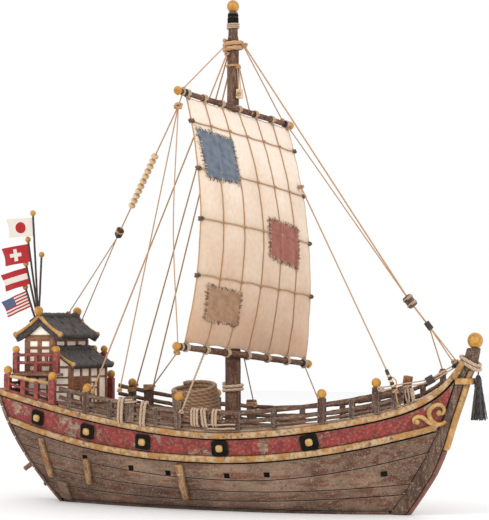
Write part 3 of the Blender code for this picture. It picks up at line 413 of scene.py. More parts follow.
def add_node(tree, kind, inputs=None, **settings):
    """A new node. An input is another node's socket, which is linked, or a fixed value."""
    made = tree.nodes.new(kind)
    for key, value in settings.items():
        setattr(made, key, value)
    for key, value in (inputs or {}).items():
        if isinstance(value, bpy.types.NodeSocket):
            tree.links.new(value, made.inputs[key])
        else:
            made.inputs[key].default_value = value
    return made


def noise_of(tree, place, scale, detail, **more):
    inputs = {"Vector": place, "Scale": scale, "Detail": detail, **more}
    return add_node(tree, "ShaderNodeTexNoise", inputs).outputs[0]


def math_node(tree, operation, a, b=0.0, clamp=False):
    return add_node(tree, "ShaderNodeMath", {0: a, 1: b}, operation=operation, use_clamp=clamp).outputs[0]


def times(tree, a, b):
    """The product of two vectors, axis by axis."""
    return add_node(tree, "ShaderNodeVectorMath", {0: a, 1: b}, operation="MULTIPLY").outputs[0]


def step_between(tree, value, low, high, top=1.0):
    """Zero below low, top above high, and smooth between them."""
    inputs = {"Value": value, "From Min": low, "From Max": high, "To Min": 0.0, "To Max": top}
    return add_node(tree, "ShaderNodeMapRange", inputs, interpolation_type="SMOOTHSTEP").outputs[0]


def mixed(tree, factor, a, b, blend="MIX"):
    inputs = {0: factor, 6: a, 7: b}
    return add_node(tree, "ShaderNodeMix", inputs, data_type="RGBA", blend_type=blend).outputs[2]


def new_group(name, inputs, outputs):
    group = bpy.data.node_groups.new(name, "ShaderNodeTree")
    for socket, kind, value in inputs:
        made = group.interface.new_socket(socket, in_out="INPUT", socket_type=kind)
        if value is not None:
            made.default_value = value
    for socket, kind in outputs:
        group.interface.new_socket(socket, in_out="OUTPUT", socket_type=kind)
    return group, group.nodes.new("NodeGroupInput").outputs, group.nodes.new("NodeGroupOutput").inputs


def place_group(tree, group, **inputs):
    return add_node(tree, "ShaderNodeGroup", inputs, node_tree=group).outputs


# %% Node group: grain of old wood
FLOAT, VECTOR = "NodeSocketFloat", "NodeSocketVector"
GRAIN, given, put = new_group(
    "old wood grain",
    [("Place", VECTOR, None), ("Stretch", VECTOR, (1.0, 8.0, 8.0)), ("Fineness", FLOAT, 120.0),
     ("Cracks", FLOAT, 0.5)],
    [("Tone", FLOAT), ("Crack", FLOAT), ("Height", FLOAT)])
stretched = times(GRAIN, given["Place"], given["Stretch"])
broad = noise_of(GRAIN, stretched, given["Fineness"], 5.0, Roughness=0.62)
fine_scale = math_node(GRAIN, "MULTIPLY", given["Fineness"], 4.0)
fibre = noise_of(GRAIN, stretched, fine_scale, 3.0, Distortion=0.4)
crack_scale = math_node(GRAIN, "MULTIPLY", given["Fineness"], 0.45)
split = noise_of(GRAIN, stretched, crack_scale, 4.0, Distortion=0.8)
ridge = math_node(GRAIN, "ABSOLUTE", math_node(GRAIN, "SUBTRACT", split, 0.5))
crack_width = math_node(GRAIN, "MULTIPLY", given["Cracks"], 0.028)
open_crack = math_node(GRAIN, "LESS_THAN", ridge, crack_width)
soft_crack = math_node(GRAIN, "SUBTRACT", 1.0, step_between(GRAIN, ridge, 0.0, 0.05), clamp=True)
soft_crack = math_node(GRAIN, "MULTIPLY", soft_crack, given["Cracks"])
GRAIN.links.new(
    math_node(GRAIN, "MAXIMUM", math_node(GRAIN, "MULTIPLY", open_crack, 0.8), soft_crack), put["Crack"])
tone = math_node(
    GRAIN, "ADD", math_node(GRAIN, "MULTIPLY", broad, 0.6), math_node(GRAIN, "MULTIPLY", fibre, 0.4))
GRAIN.links.new(step_between(GRAIN, tone, 0.34, 0.66), put["Tone"])
height = math_node(GRAIN, "SUBTRACT", tone, math_node(GRAIN, "MULTIPLY", soft_crack, 0.5))
GRAIN.links.new(height, put["Height"])

# %% Node group: edges rubbed bare
EDGES, given, put = new_group("rubbed edges", [("Place", VECTOR, None), ("Reach", FLOAT, 0.0009),
                                               ("Amount", FLOAT, 1.0)], [("Mask", FLOAT)])
rounded = add_node(EDGES, "ShaderNodeBevel", {"Radius": given["Reach"]}, samples=4).outputs[0]
true_normal = add_node(EDGES, "ShaderNodeNewGeometry").outputs["Normal"]
agreement = add_node(
    EDGES, "ShaderNodeVectorMath", {0: rounded, 1: true_normal}, operation="DOT_PRODUCT").outputs[1]
breakup = noise_of(EDGES, given["Place"], 260.0, 4.0)
turned_away = math_node(EDGES, "SUBTRACT", 1.0, agreement)
rubbed = math_node(EDGES, "MULTIPLY", turned_away, math_node(EDGES, "ADD", breakup, 0.2))
EDGES.links.new(
    math_node(EDGES, "MULTIPLY", step_between(EDGES, rubbed, 0.01, 0.10), given["Amount"]), put["Mask"])

# %% Node group: paint that chips off
CHIPS, given, put = new_group("chipped paint", [("Place", VECTOR, None), ("Scale", FLOAT, 90.0),
                                                ("Bare", FLOAT, 0.5)], [("Mask", FLOAT), ("Lip", FLOAT)])
patches = noise_of(CHIPS, given["Place"], given["Scale"], 6.0, Roughness=0.68, Distortion=0.3)
limit = math_node(CHIPS, "SUBTRACT", 0.86, math_node(CHIPS, "MULTIPLY", given["Bare"], 0.5))
for low, high, name in ((-0.008, 0.008, "Mask"), (-0.05, 0.02, "Lip")):
    above = math_node(CHIPS, "SUBTRACT", patches, limit)
    CHIPS.links.new(step_between(CHIPS, above, low, high), put[name])

# %% Node group: painted shade and dirt in the corners
CORNER_SHADE_AND_DIRT, given, put = new_group("painted corner shade and dirt", [("Reach", FLOAT, 0.006), ("Amount", FLOAT, 1.0)],
                              [("Mask", FLOAT)])
# Ambient occlusion finds the corners, and the mask darkens them with painted shade and dirt
corner = add_node(CORNER_SHADE_AND_DIRT, "ShaderNodeAmbientOcclusion", {"Distance": given["Reach"]}, samples=6).outputs["AO"]
CORNER_SHADE_AND_DIRT.links.new(
    math_node(CORNER_SHADE_AND_DIRT, "MULTIPLY", math_node(CORNER_SHADE_AND_DIRT, "SUBTRACT", 1.0, corner), given["Amount"]), put["Mask"])


# %% [markdown]
# ## The finishes
# Each finish starts from the shared effects and adds its own colours. Bare wood is grey-brown with pale
# rubbed edges, paint lies over it and is chipped through, and cloth and rope have their own weave. The
# scale of each pattern is that of a model half a metre long, so grain is finer here than on a plank.
# %% Start of a finish
FINENESS = 95.0
STREAK, FLECK, CRACK, RUBBED = "8A5A3C", "C4AC98", "2A1D15", (1.0, 0.93, 0.84, 1.0)


def start_finish(name, roughness):
    """A new material: its tree, its shader and the object's own coordinates."""
    material = bpy.data.materials.new(name)
    material.use_nodes = True
    tree = material.node_tree
    shader = tree.nodes["Principled BSDF"]
    shader.inputs["Roughness"].default_value = roughness
    place = add_node(tree, "ShaderNodeTexCoord").outputs["Object"]
    return material, tree, shader, place


def with_corner_shade_and_dirt(tree, colour, code, **amounts):
    """The colour darkened in its corners by ambient occlusion: painted shade, and dirt settled there."""
    return mixed(tree, place_group(tree, CORNER_SHADE_AND_DIRT, **amounts)["Mask"], colour, tint(code))


def dress(tree, shader, colour, height, strength, distance=0.0004):
    """Gives the shader its colour and its relief."""
    tree.links.new(colour, shader.inputs["Base Color"])
    bump = add_node(tree, "ShaderNodeBump", {"Height": height, "Strength": strength, "Distance": distance})
    tree.links.new(bump.outputs[0], shader.inputs["Normal"])


def wood_colours(tree, place, stretch, cracks, dark, middle, pale):
    """Colour and height of old bare wood: grain, pale clouds, red streaks, flecks and cracks."""
    grain = place_group(tree, GRAIN, Place=place, Stretch=stretch, Fineness=FINENESS, Cracks=cracks)
    patchy = noise_of(tree, place, 22.0, 3.0)
    colour = mixed(tree, grain["Tone"], tint(dark), tint(middle))
    colour = mixed(tree, step_between(tree, patchy, 0.42, 0.72, 0.7), colour, tint(pale))
    streak = noise_of(tree, times(tree, place, stretch), 26.0, 5.0)
    colour = mixed(tree, step_between(tree, streak, 0.48, 0.62, 0.8), colour, tint(STREAK), "SOFT_LIGHT")
    fleck = noise_of(tree, place, 700.0, 2.0)
    colour = mixed(tree, step_between(tree, fleck, 0.55, 0.70, 0.35), colour, tint(FLECK))
    colour = mixed(tree, grain["Crack"], colour, tint(CRACK))
    return colour, grain["Height"]


# %% Bare and stained wood
LENGTHWISE, UPWARDS, CROSSWISE = (1.0, 7.0, 7.0), (7.0, 7.0, 1.0), (7.0, 1.0, 7.0)


def wood(name, stretch, dark, middle, pale, cracks=0.6, rub=0.7):
    material, tree, shader, place = start_finish(name, 0.78)
    colour, height = wood_colours(tree, place, stretch, cracks, dark, middle, pale)
    worn = place_group(tree, EDGES, Place=place, Amount=rub)["Mask"]
    colour = mixed(tree, worn, colour, mixed(tree, 0.5, tint(pale), RUBBED))
    # The corners are darkened with painted shade and dirt
    dress(tree, shader, with_corner_shade_and_dirt(tree, colour, "20150F", Amount=0.8), height, 0.55)
    return material


HULL_WOOD = wood("hull wood", LENGTHWISE, "4F382B", "80634E", "9C7F68", cracks=0.12, rub=0.35)
LOW_WOOD = wood("lower hull wood", LENGTHWISE, "453022", "715442", "8A6D58", cracks=0.12, rub=0.35)
DECK_WOOD = wood("deck wood", LENGTHWISE, "5C3E28", "86603F", "9C7652", cracks=0.4)
CAP_WOOD = wood("weathered cap wood", LENGTHWISE, "6E5240", "A38468", "BC9E82", cracks=0.3, rub=0.4)
POST_WOOD = wood("post wood", UPWARDS, "39251A", "6A4F3D", "866A55", cracks=0.4, rub=0.35)
RAIL_WOOD = wood("rail wood", LENGTHWISE, "452E20", "7E5F4A", "A08069", cracks=0.5, rub=0.4)
MAST_WOOD = wood("mast wood", UPWARDS, "3C2619", "6A4832", "86624A", rub=0.4)
PALE_STICK = wood("pale stick wood", UPWARDS, "8A6444", "B08B60", "C49E74", cracks=0.3)
STERN_WOOD = wood("stern wood", CROSSWISE, "4F382B", "80634E", "9C7F68", cracks=0.2, rub=0.3)
YARD_WOOD = wood("yard wood", CROSSWISE, "472C1C", "785036", "936B4C", rub=0.5)


# %% [markdown]
# ### Paint over wood
# The strake under the rail is a worn red, and the rails that frame it are a dull gold that is half rubbed
# away. Both are one recipe: bare wood below, paint above, a noise that decides where chips have fallen, and
# the rubbed edges added to the chips. The chip's lip makes a small step in the relief.
# %% Painted wood
def painted(name, stretch, coat, coat_shade, bare, scale, under, speck=0.4):
    """Under is the colour that shows through, and speck how much of it shows as specks."""
    material, tree, shader, place = start_finish(name, 0.6)
    below, height = wood_colours(tree, place, stretch, 0.4, "6B5747", under, "B5A38C")
    shade = noise_of(tree, place, 150.0, 6.0)
    over = mixed(tree, step_between(tree, shade, 0.42, 0.58), tint(coat), tint(coat_shade))
    fine = noise_of(tree, place, 420.0, 5.0)
    over = mixed(tree, step_between(tree, fine, 0.48, 0.66, speck), over, tint(under))
    chips = place_group(tree, CHIPS, Place=place, Scale=scale, Bare=bare)
    worn = place_group(tree, EDGES, Place=place, Amount=0.9)["Mask"]
    gone = math_node(tree, "MAXIMUM", chips["Mask"], worn, clamp=True)
    # The corners are darkened with painted shade and dirt
    colour = with_corner_shade_and_dirt(tree, mixed(tree, gone, over, below), "1E140E", Amount=0.75)
    relief = math_node(tree, "SUBTRACT", math_node(tree, "MULTIPLY", height, 0.5), chips["Lip"])
    dress(tree, shader, colour, relief, 0.5, 0.0003)
    return material


RED_HULL = painted("red paint", LENGTHWISE, "8B2822", "701E19", 0.56, 32.0, "A08470", 0.3)
RED_POST = painted("red post paint", UPWARDS, "8E2F2B", "6E211F", 0.40, 110.0, "9A7A62", 0.35)
GOLD_RAIL = painted("gold rail paint", LENGTHWISE, "BA9C74", "A8763A", 0.52, 130.0, "7E624C", 0.75)
RED_SHOE = painted("red shoe paint", UPWARDS, "7C4638", "683629", 0.45, 120.0, "6E503E")
GOLD_STICK = painted("golden stick paint", LENGTHWISE, "C8A070", "B0844E", 0.45, 110.0, "8E6E54")
GOLD_TRIM = painted("gold trim paint", UPWARDS, "C59A5E", "B0803E", 0.45, 110.0, "8A6A4C", 0.5)


# %% Small painted fittings
def plain_paint(
    name, colour, shade, roughness, rub=0.5, rub_colour="C9A877", relief=0.25, corner_shade_and_dirt=0.6, shine=0.5):
    material, tree, shader, place = start_finish(name, roughness)
    shader.inputs["Specular IOR Level"].default_value = shine
    clouds = noise_of(tree, place, 240.0, 4.0)
    base = mixed(tree, step_between(tree, clouds, 0.35, 0.7), tint(colour), tint(shade))
    worn = place_group(tree, EDGES, Place=place, Reach=0.0006, Amount=rub)["Mask"]
    base = mixed(tree, worn, base, tint(rub_colour))
    # The corners are darkened with painted shade and dirt, as much as the amount asks
    colour = with_corner_shade_and_dirt(tree, base, "1E140E", Reach=0.004, Amount=corner_shade_and_dirt)
    dress(tree, shader, colour, clouds, relief, 0.0003)
    return material


GOLD_BALL = plain_paint("gold balls", "C08A34", "A56E22", 0.30, rub=0.1, relief=0.1)
STUD_GOLD = plain_paint("gold studs", "C9A264", "AD8448", 0.45, rub=0.1)
BLACK_IRON = plain_paint("black iron", "17150F", "0B0A08", 0.85, rub=0.5, rub_colour="4A443A", shine=0.15)
DARK_WOOD = plain_paint("dark turned wood", "3A2820", "261A14", 0.5, rub=0.4, rub_colour="8A6B4E")
LATTICE = plain_paint("lattice wood", "8C5A34", "683E22", 0.6, rub=0.4, rub_colour="A87C55")
DOOR_WOOD = plain_paint("door wood", "8A5A34", "6B4224", 0.6, rub=0.4, rub_colour="B98B5E")
PANEL = plain_paint("cream panels", "FFF8EC", "FBEBD6", 0.75, rub=0.05, rub_colour="B79C78", corner_shade_and_dirt=0.05)
BEAD_WOOD = plain_paint("bead wood", "DCBE98", "CAA67E", 0.5, rub=0.1)
PEG_WOOD = plain_paint("peg wood", "6B5340", "4A382B", 0.7, rub=0.4)
SHINGLE = plain_paint("charcoal shingles", "453D3A", "241F1E", 0.75, rub=0.6, rub_colour="8C7D70", relief=0.5)


# %% [markdown]
# ### Rope and cloth
# The twist of a rope is in its shape, so its material only darkens the grooves with painted shade, using
# the depth that the rope stored as an attribute, and adds loose fibres. Cloth is woven: two sets of fine
# waves on the sheet's own map cross each other and make the threads' relief, and a coarser noise makes the
# cloth's slight change of colour.
# %% Rope finish
def rope_finish(name, pale, dark, groove_shade_colour):
    material, tree, shader, place = start_finish(name, 0.9)
    shader.inputs["Sheen Weight"].default_value = 0.25
    groove = add_node(tree, "ShaderNodeAttribute", attribute_name="groove").outputs["Fac"]
    hair = noise_of(tree, place, 900.0, 4.0)
    colour = mixed(tree, step_between(tree, hair, 0.3, 0.7), tint(dark), tint(pale))
    # The grooves between the strands are darkened as painted shade
    colour = mixed(tree, math_node(tree, "MULTIPLY", groove, 0.75), colour, tint(groove_shade_colour))
    dress(tree, shader, colour, hair, 0.5, 0.0003)
    return material


TWINE = rope_finish("twine", "D2A476", "B88C5E", "A27A52")
PALE_ROPE = rope_finish("pale rope", "DEC3A6", "BD9E80", "86694F")
DARK_TWINE = rope_finish("dark twine", "8A6B48", "5F4630", "33241A")
COIL_ROPE = rope_finish("coiled rope", "C09A75", "96714F", "533A29")
STITCH = rope_finish("pale stitches", "EFE3CC", "D2BE9C", "9A8466")
TASSEL_THREAD = rope_finish("tassel thread", "5A504C", "38312E", "1A1614")
BLACK_LINE = rope_finish("black line", "35322F", "1F1D1C", "0E0D0C")


# %% Woven cloth
def cloth_finish(name, paint_cloth, soil, threads=240.0):
    """paint_cloth gives the cloth's colour from the tree, the sheet's own map and the map's two parts."""
    material, tree, shader, _ = start_finish(name, 0.9)
    shader.inputs["Sheen Weight"].default_value = 0.2
    own_map = add_node(tree, "ShaderNodeUVMap", uv_map="cloth").outputs[0]
    parts = add_node(tree, "ShaderNodeSeparateXYZ", {0: own_map}).outputs
    waves = [math_node(tree, "SINE", math_node(tree, "MULTIPLY", parts[axis], threads * 2 * math.pi))
             for axis in (0, 1)]
    weave = math_node(tree, "MULTIPLY", *waves)
    colour = paint_cloth(tree, own_map, parts)
    slub = noise_of(tree, own_map, 45.0, 5.0)
    colour = mixed(tree, step_between(tree, slub, 0.35, 0.75, soil), colour, tint("8E7458"), "MULTIPLY")
    # The cloth's corners and creases are darkened with painted shade and dirt
    colour = with_corner_shade_and_dirt(tree, colour, "5A452F", Reach=0.006, Amount=0.5)
    height = math_node(
        tree, "ADD", math_node(tree, "MULTIPLY", weave, 0.5), math_node(tree, "MULTIPLY", slub, 1.5))
    dress(tree, shader, colour, height, 0.35, 0.0002)
    return material


def one_colour(code, shade):
    """A clouded cloth of two shades."""
    def colour_of(tree, own_map, _):
        cloud = noise_of(tree, own_map, 6.0, 4.0)
        return mixed(tree, step_between(tree, cloud, 0.3, 0.75), tint(code), tint(shade))
    return colour_of


def cream_to_brown_sail(tree, own_map, parts):
    """Cream at the head of the sail and brown at its foot, with soft clouds."""
    cloud = noise_of(tree, own_map, 5.0, 4.0)
    height = math_node(tree, "ADD", parts[1], math_node(tree, "MULTIPLY", cloud, 0.7))
    upper_part = mixed(tree, step_between(tree, height, 0.75, 1.3), tint("DAC2AA"), tint("EEDCCB"))
    return mixed(tree, step_between(tree, height, 0.25, 0.85), tint("C8A285"), upper_part)


SAILCLOTH = cloth_finish("sailcloth", cream_to_brown_sail, 0.12)
BLUE_CLOTH = cloth_finish("blue patch", one_colour("6E7986", "525D6C"), 0.3, 60.0)
RUST_CLOTH = cloth_finish("rust patch", one_colour("A25F50", "884C40"), 0.3, 60.0)
TAN_CLOTH = cloth_finish("tan patch", one_colour("AF8867", "946F53"), 0.3, 60.0)
print(f"{len(bpy.data.materials)} finishes from {len(bpy.data.node_groups)} shared groups")


# %% [markdown]
# ## The form of the hull
# Studs, pegs, ropes and rails all sit on the hull's skin, so the lesson needs to know where that skin is.
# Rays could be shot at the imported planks, but they would also hit the plates. A ship's form is a few smooth
# rules instead: how the stem and the stern rake with height, how wide the hull is at a height, how it
# narrows to both ends, and how each seam rises from its lowest place. The same rules place every fitting.
# %% Rules of the form
SIDES = (("starboard", -1), ("port", 1))
STEM_HALF, BEAM_HALF, BOTTOM_HALF = 0.0045, 0.0650, 0.0360
FULL_BEAM_Z = 0.110
FULLEST = 0.46
# Three numbers a rule: the value at the bottom, and its change with height and with height squared
STEM_RULE, STERN_RULE, STERN_WIDTH_RULE = (0.150, 0.757, -2.073), (-0.167, -0.721, 2.4), (0.30, 5.8, -17.6)
BILGE_POWER, STERN_POWER, BOW_POWER, SWEEP_POWER = 3.2, 0.9, 2.3, 11
BOTTOM_Z = 0.003
SEAM_REACH = 0.2
WALE_HALF, WALE_PROUD = 0.0033, 0.0022
# Each seam: where it is lowest, its height there, rise and power towards the stern, rise and power towards
# the bow, and the rise of its last sweep
SEAMS = {
    "seam_3": (0.000, 0.0096, 0.0113, 2.2, 0.0115, 1.8, 0.0),
    "seam_2": (0.030, 0.0186, 0.0141, 2.2, 0.0158, 1.8, 0.0),
    "seam_1": (0.030, 0.0284, 0.0195, 2.0, 0.0404, 1.8, 0.0),
    "lower_wale": (0.010, 0.0462, 0.0243, 2.2, 0.0342, 1.9, 0.0),
    "upper_wale": (0.010, 0.0670, 0.0285, 1.6, 0.0320, 1.8, 0.0207),
}
BOARDS = {
    "strake_4": (None, "seam_3"),
    "strake_3": ("seam_3", "seam_2"),
    "strake_2": ("seam_2", "seam_1"),
    "strake_1": ("seam_1", "lower_wale"),
}


def seam_z(name, x):
    if name is None:
        return BOTTOM_Z
    lowest, level, aft, aft_power, fore, fore_power, sweep = SEAMS[name]
    back, ahead = max(lowest - x, 0.0) / SEAM_REACH, max(x - lowest, 0.0) / SEAM_REACH
    return level + aft * back**aft_power + fore * ahead**fore_power + sweep * ahead**SWEEP_POWER


def by_height(rule, z):
    return rule[0] + rule[1] * z + rule[2] * z * z


def stem_at(z):
    return by_height(STEM_RULE, z)


def stern_at(z):
    return by_height(STERN_RULE, z)


def half_width(x, z):
    widest = BEAM_HALF - (BEAM_HALF - BOTTOM_HALF) * max(1.0 - z / FULL_BEAM_Z, 0.0) ** BILGE_POWER
    at_stern = by_height(STERN_WIDTH_RULE, z)
    t = min(max((x - stern_at(z)) / (stem_at(z) - stern_at(z)), 0.0), 1.0)
    if t < FULLEST:
        share = at_stern + (1.0 - at_stern) * math.sin(math.pi / 2 * t / FULLEST) ** STERN_POWER
    else:
        share = 1.0 - ((t - FULLEST) / (1.0 - FULLEST)) ** BOW_POWER
    return STEM_HALF + (widest - STEM_HALF) * share


def on_skin(x, z, side, proud=0.0):
    """The point of the hull's side at a place and height, and the direction that it faces."""
    step = 0.002
    out = Vector((
        -(half_width(x + step, z) - half_width(x - step, z)) / (2 * step),
        1.0,
        -(half_width(x, z + step) - half_width(x, z - step)) / (2 * step),
    )).normalized()
    out.y *= side
    return Vector((x, side * half_width(x, z), z)) + out * proud, out


def skin_turn(x, z, side, rise=0.0):
    """Axes on the skin: X forward with a rise, Y outward, Z up."""
    _, out = on_skin(x, z, side)
    ahead = Vector((1.0, 0.0, rise))
    ahead = (ahead - out * ahead.dot(out)).normalized()
    up = ahead.cross(out) if side > 0 else out.cross(ahead)
    return Matrix((ahead, out, up)).transposed().to_4x4()


def rail_z(x):
    """The height of the hull's top edge, where the deck lies level with it."""
    return seam_z("upper_wale", x) + WALE_HALF


def edge(x, side, up=0.0, inward=0.0004):
    """A point over the hull's top edge, a little inside the planking's outer face."""
    return Vector((x, side * (half_width(x, rail_z(x)) - inward), rail_z(x) + up))


print("rail height at the stern, the middle and the bow:", [round(rail_z(x), 4) for x in (-0.2, 0.0, 0.18)])

# %% [markdown]
# ## Bending stock
# Shipwrights bend straight timber to a curve, and the lesson does the same. A piece is made straight, along
# X, with its edges already rounded, and then each of its points is carried onto a route. A curve object
# with a bevel would be quicker, but it can't have a hewn section, a chamfer or a knife's marks.
# %% Laying a straight piece along a route
def lay_along(obj, points, up=(0.0, 0.0, 1.0)):
    """Carries a piece that lies along X onto a route: its Y turns to the route's left, and its Z up."""
    route = smooth_route(points, 0.002)
    steps = np.linalg.norm(np.diff(route, axis=0), axis=1)
    lengths = np.concatenate([[0.0], np.cumsum(steps)])
    along = np.gradient(route, axis=0)
    xs = [vertex.co.x for vertex in obj.data.vertices]
    low, span = min(xs), max(xs) - min(xs)
    for vertex in obj.data.vertices:
        at = (vertex.co.x - low) / span * lengths[-1]
        place, ahead = (
            Vector([np.interp(at, lengths, rows[:, k]) for k in range(3)]) for rows in (route, along))
        left = Vector(up).cross(ahead).normalized()
        top = ahead.cross(left).normalized()
        vertex.co = place + left * vertex.co.y + top * vertex.co.z
    obj.data.update()
    return obj


def stock(length, width, height, edge=0.0005, cuts=8, segments=2):
    """A straight batten along X, with broken edges and cuts where it can bend."""
    obj = plain_box((length / 2, 0.0, 0.0), (length, width, height))
    round_edges(obj, edge, segments)
    rings = [(length * i / (cuts + 1), 0.0, 0.0) for i in range(1, cuts + 1)]
    return cut_rings(obj, rings, (1.0, 0.0, 0.0))


def cut_away(obj, cutters):
    """Cuts the cutters' shapes out of a piece."""
    cutter = join(cutters, "cutter")
    modifier = obj.modifiers.new("cut", "BOOLEAN")
    modifier.operation = "DIFFERENCE"
    modifier.solver = "EXACT"
    modifier.object = cutter
    apply_modifiers(obj)
    bpy.data.objects.remove(cutter, do_unlink=True)
    return obj


def quads_of(obj):
    start_edit(obj)
    bpy.ops.mesh.tris_convert_to_quads(face_threshold=math.radians(12), shape_threshold=math.radians(60))
    return end_edit(obj)


# %% [markdown]
# ## Planks of the bottom and sides
# The hull is laid in carvel planks: flush, with fine seams, and with butts where one board ends and the
# next begins. A single skin with painted lines would look flat, because the seams must catch light. Each
# board starts as a grid, whose points are carried to the hull's skin between two seams, and Solidify gives
# it its thickness inwards. Slots are cut for the butts, five square ports are cut through, and a small
# bevel opens every seam. A black lining behind the planks closes the seams and the ports, and its black is
# painted shade for the dark inside of the hull. The port nearest to the bow is a black plate flush with its
# plank, painted shade in place of an opening, because the skin is curved too sharply there for a clean cut.
# %% A board that follows the hull
# X and height of each port
PORTS = ((-0.1239, 0.0439), (-0.0747, 0.0364), (-0.0371, 0.0333), (0.0192, 0.0324), (0.0551, 0.0342))
BOW_PORT = (0.1505, 0.0358)
LINING_DEPTH = -0.0019
PORT_SHADE_THICK = 0.0010
PORT_SIZE = (0.0056, 0.0200, 0.0046)
BUTTS = {
    "strake_1": (-0.098, 0.006, 0.092),
    "strake_2": (-0.142, -0.030, 0.070, 0.152),
    "strake_3": (-0.090, 0.034, 0.118),
    "strake_4": (-0.118, -0.012, 0.086),
}
BUTT_GAP = 0.0003
BOARD_THICK = 0.0030
SEAM_GAP = 0.0010


def line_ends(name, shift):
    """Where a line along the hull meets the stern and the stem."""
    aft, fore = STERN_RULE[0], STEM_RULE[0]
    for _ in range(30):
        aft, fore = stern_at(seam_z(name, aft) + shift), stem_at(seam_z(name, fore) + shift)
    return aft, fore


def skin_board(low, high, side, proud=0.0, columns=80, rows=4):
    """A board between two lines, each given as a seam and a shift in height."""
    ends = [line_ends(*line) for line in (low, high)]
    bpy.ops.mesh.primitive_grid_add(x_subdivisions=columns, y_subdivisions=rows, size=2.0)
    obj = bpy.context.object
    for vertex in obj.data.vertices:
        u, v = (vertex.co.x + 1) / 2, (vertex.co.y + 1) / 2
        (x_low, z_low), (x_high, z_high) = (
            (aft + (fore - aft) * u, seam_z(seam, aft + (fore - aft) * u) + shift)
            for (seam, shift), (aft, fore) in zip((low, high), ends))
        x = x_low + (x_high - x_low) * v
        z = z_low + SEAM_GAP / 2 + (z_high - z_low - SEAM_GAP) * v
        vertex.co = (x, side * (half_width(x, z) + proud), z)
    if side > 0:
        start_edit(obj)
        bpy.ops.mesh.flip_normals()
        end_edit(obj)
    wall = obj.modifiers.new("thickness", "SOLIDIFY")
    wall.thickness = BOARD_THICK + proud
    wall.offset = -1.0
    return apply_modifiers(obj)


# %% Planks
def shape_plank(plank, label, side):
    low, high = BOARDS[plank]
    shift = -WALE_HALF if high == "lower_wale" else 0.0
    obj = skin_board((low, 0.0), (high, shift), side)
    cutters = [plain_box((x, side * 0.05, 0.05), (BUTT_GAP, 0.1, 0.2)) for x in BUTTS[plank]]
    for x, z in PORTS if plank == "strake_1" else ():
        cutters.append(plain_box(on_skin(x, z, side)[0], PORT_SIZE))
    cut_away(obj, cutters)
    whittle(obj, 0.00016, 0.03, side)
    smooth(round_edges(obj, 0.0008, 2, 30), 30)
    paint(obj, LOW_WOOD if plank in ("strake_3", "strake_4") else HULL_WOOD)
    return finish_piece(obj, f"plank_{plank}_{label}", "hull", "worn_wood", f"{plank}_{label}")


for label, side in SIDES:
    for plank in BUTTS:
        shape_plank(plank, label, side)
    # A black sheet behind the planks: painted shade for the hull's dark inside, seen through seams and ports
    shade_lining = skin_board((None, 0.0), ("upper_wale", 0.0), side, LINING_DEPTH, rows=12)
    finish_piece(paint(shade_lining, BLACK_IRON), f"hull_lining_{label}", "hull", "worn_wood")
    # At the bow port, a black plate flush with the plank is painted shade in place of an opening
    size = (PORT_SIZE[0], PORT_SHADE_THICK, PORT_SIZE[2])
    port_shade_plate = block(on_skin(*BOW_PORT, side)[0], size, skin_turn(*BOW_PORT, side), 0.0002)
    finish_piece(paint(port_shade_plate, BLACK_IRON), f"bow_port_{label}", "hull", "worn_wood")
keel_plank = smooth(round_edges(quads_of(solid_copy("bottom_plank")), 0.0006), 30)
finish_piece(paint(keel_plank, LOW_WOOD), "flat_keel_plank", "hull", "worn_wood", "bottom_plank")
print(f"{2 * len(BUTTS)} strakes with {len(PORTS) + 1} ports a side")

# %% [markdown]
# ### Battens on the side
# Four short battens stand on each side, as fenders. They are paler than the hull, two of them are made of
# two overlapping lengths, and the lowest is a wide foot plank. Each is a straight stick that is laid on the
# skin.
# %% Battens
# Top x and z, foot x and z, width, thickness, and whether it is a pale stick
BATTENS = (
    (-0.1714, 0.0605, -0.1706, 0.0490, 0.0062, 0.0028, True),
    (-0.1708, 0.0495, -0.1690, 0.0250, 0.0058, 0.0032, True),
    (-0.1218, 0.0430, -0.1242, 0.0205, 0.0058, 0.0032, True),
    (-0.0241, 0.0418, -0.0240, 0.0325, 0.0066, 0.0028, True),
    (-0.0240, 0.0335, -0.0238, 0.0112, 0.0060, 0.0032, True),
    (-0.1580, 0.0200, -0.1590, 0.0040, 0.0120, 0.0026, False),
)


BATTEN_SUNK = 0.0006
BATTEN_STEPS = 6


def batten(side, x_top, z_top, x_foot, z_foot, width, thick, pale):
    """A stick along the skin from its top to its foot, sunk into it a little."""
    route, outs = [], []
    for i in range(BATTEN_STEPS + 1):
        s = i / BATTEN_STEPS
        point, out = on_skin(x_top + (x_foot - x_top) * s, z_top + (z_foot - z_top) * s, side)
        route.append(point + out * (thick / 2 - BATTEN_SUNK))
        outs.append(out)
    obj = stock(z_top - z_foot, width, thick + 2 * BATTEN_SUNK, 0.0009, 7, 3)
    lay_along(obj, route, outs[BATTEN_STEPS // 2])
    return whittled(obj, PALE_STICK if pale else HULL_WOOD, 0.0003, 0.008, x_top, 50)


for label, side in SIDES:
    made = [batten(side, *row) for row in BATTENS]
    finish_piece(join(made, "battens"), f"battens_{label}", "hull", "worn_wood")

# %% [markdown]
# ### Pegs
# Old boats are fastened with wooden pegs, and this model shows them as small dark dots beside the butts. A
# texture could dot the hull, but a peg's head stands a hair proud and throws a shadow. One head is modelled
# as a short cylinder with a bevelled crown, and copied.
# %% Peg heads
PEG_RADIUS, PEG_DEPTH, PEG_PROUD = 0.0008, 0.0006, 0.0004
PEG_FROM_BUTT, PEG_FROM_END = 0.004, 0.006
FRAME_PLACES = [-0.160 + 0.046 * i for i in range(7)]


def peg_head(point, out):
    obj = bar(point - out * PEG_DEPTH, point + out * PEG_PROUD, PEG_RADIUS, 8, 0)
    return round_edges(obj, 0.0002, 1)


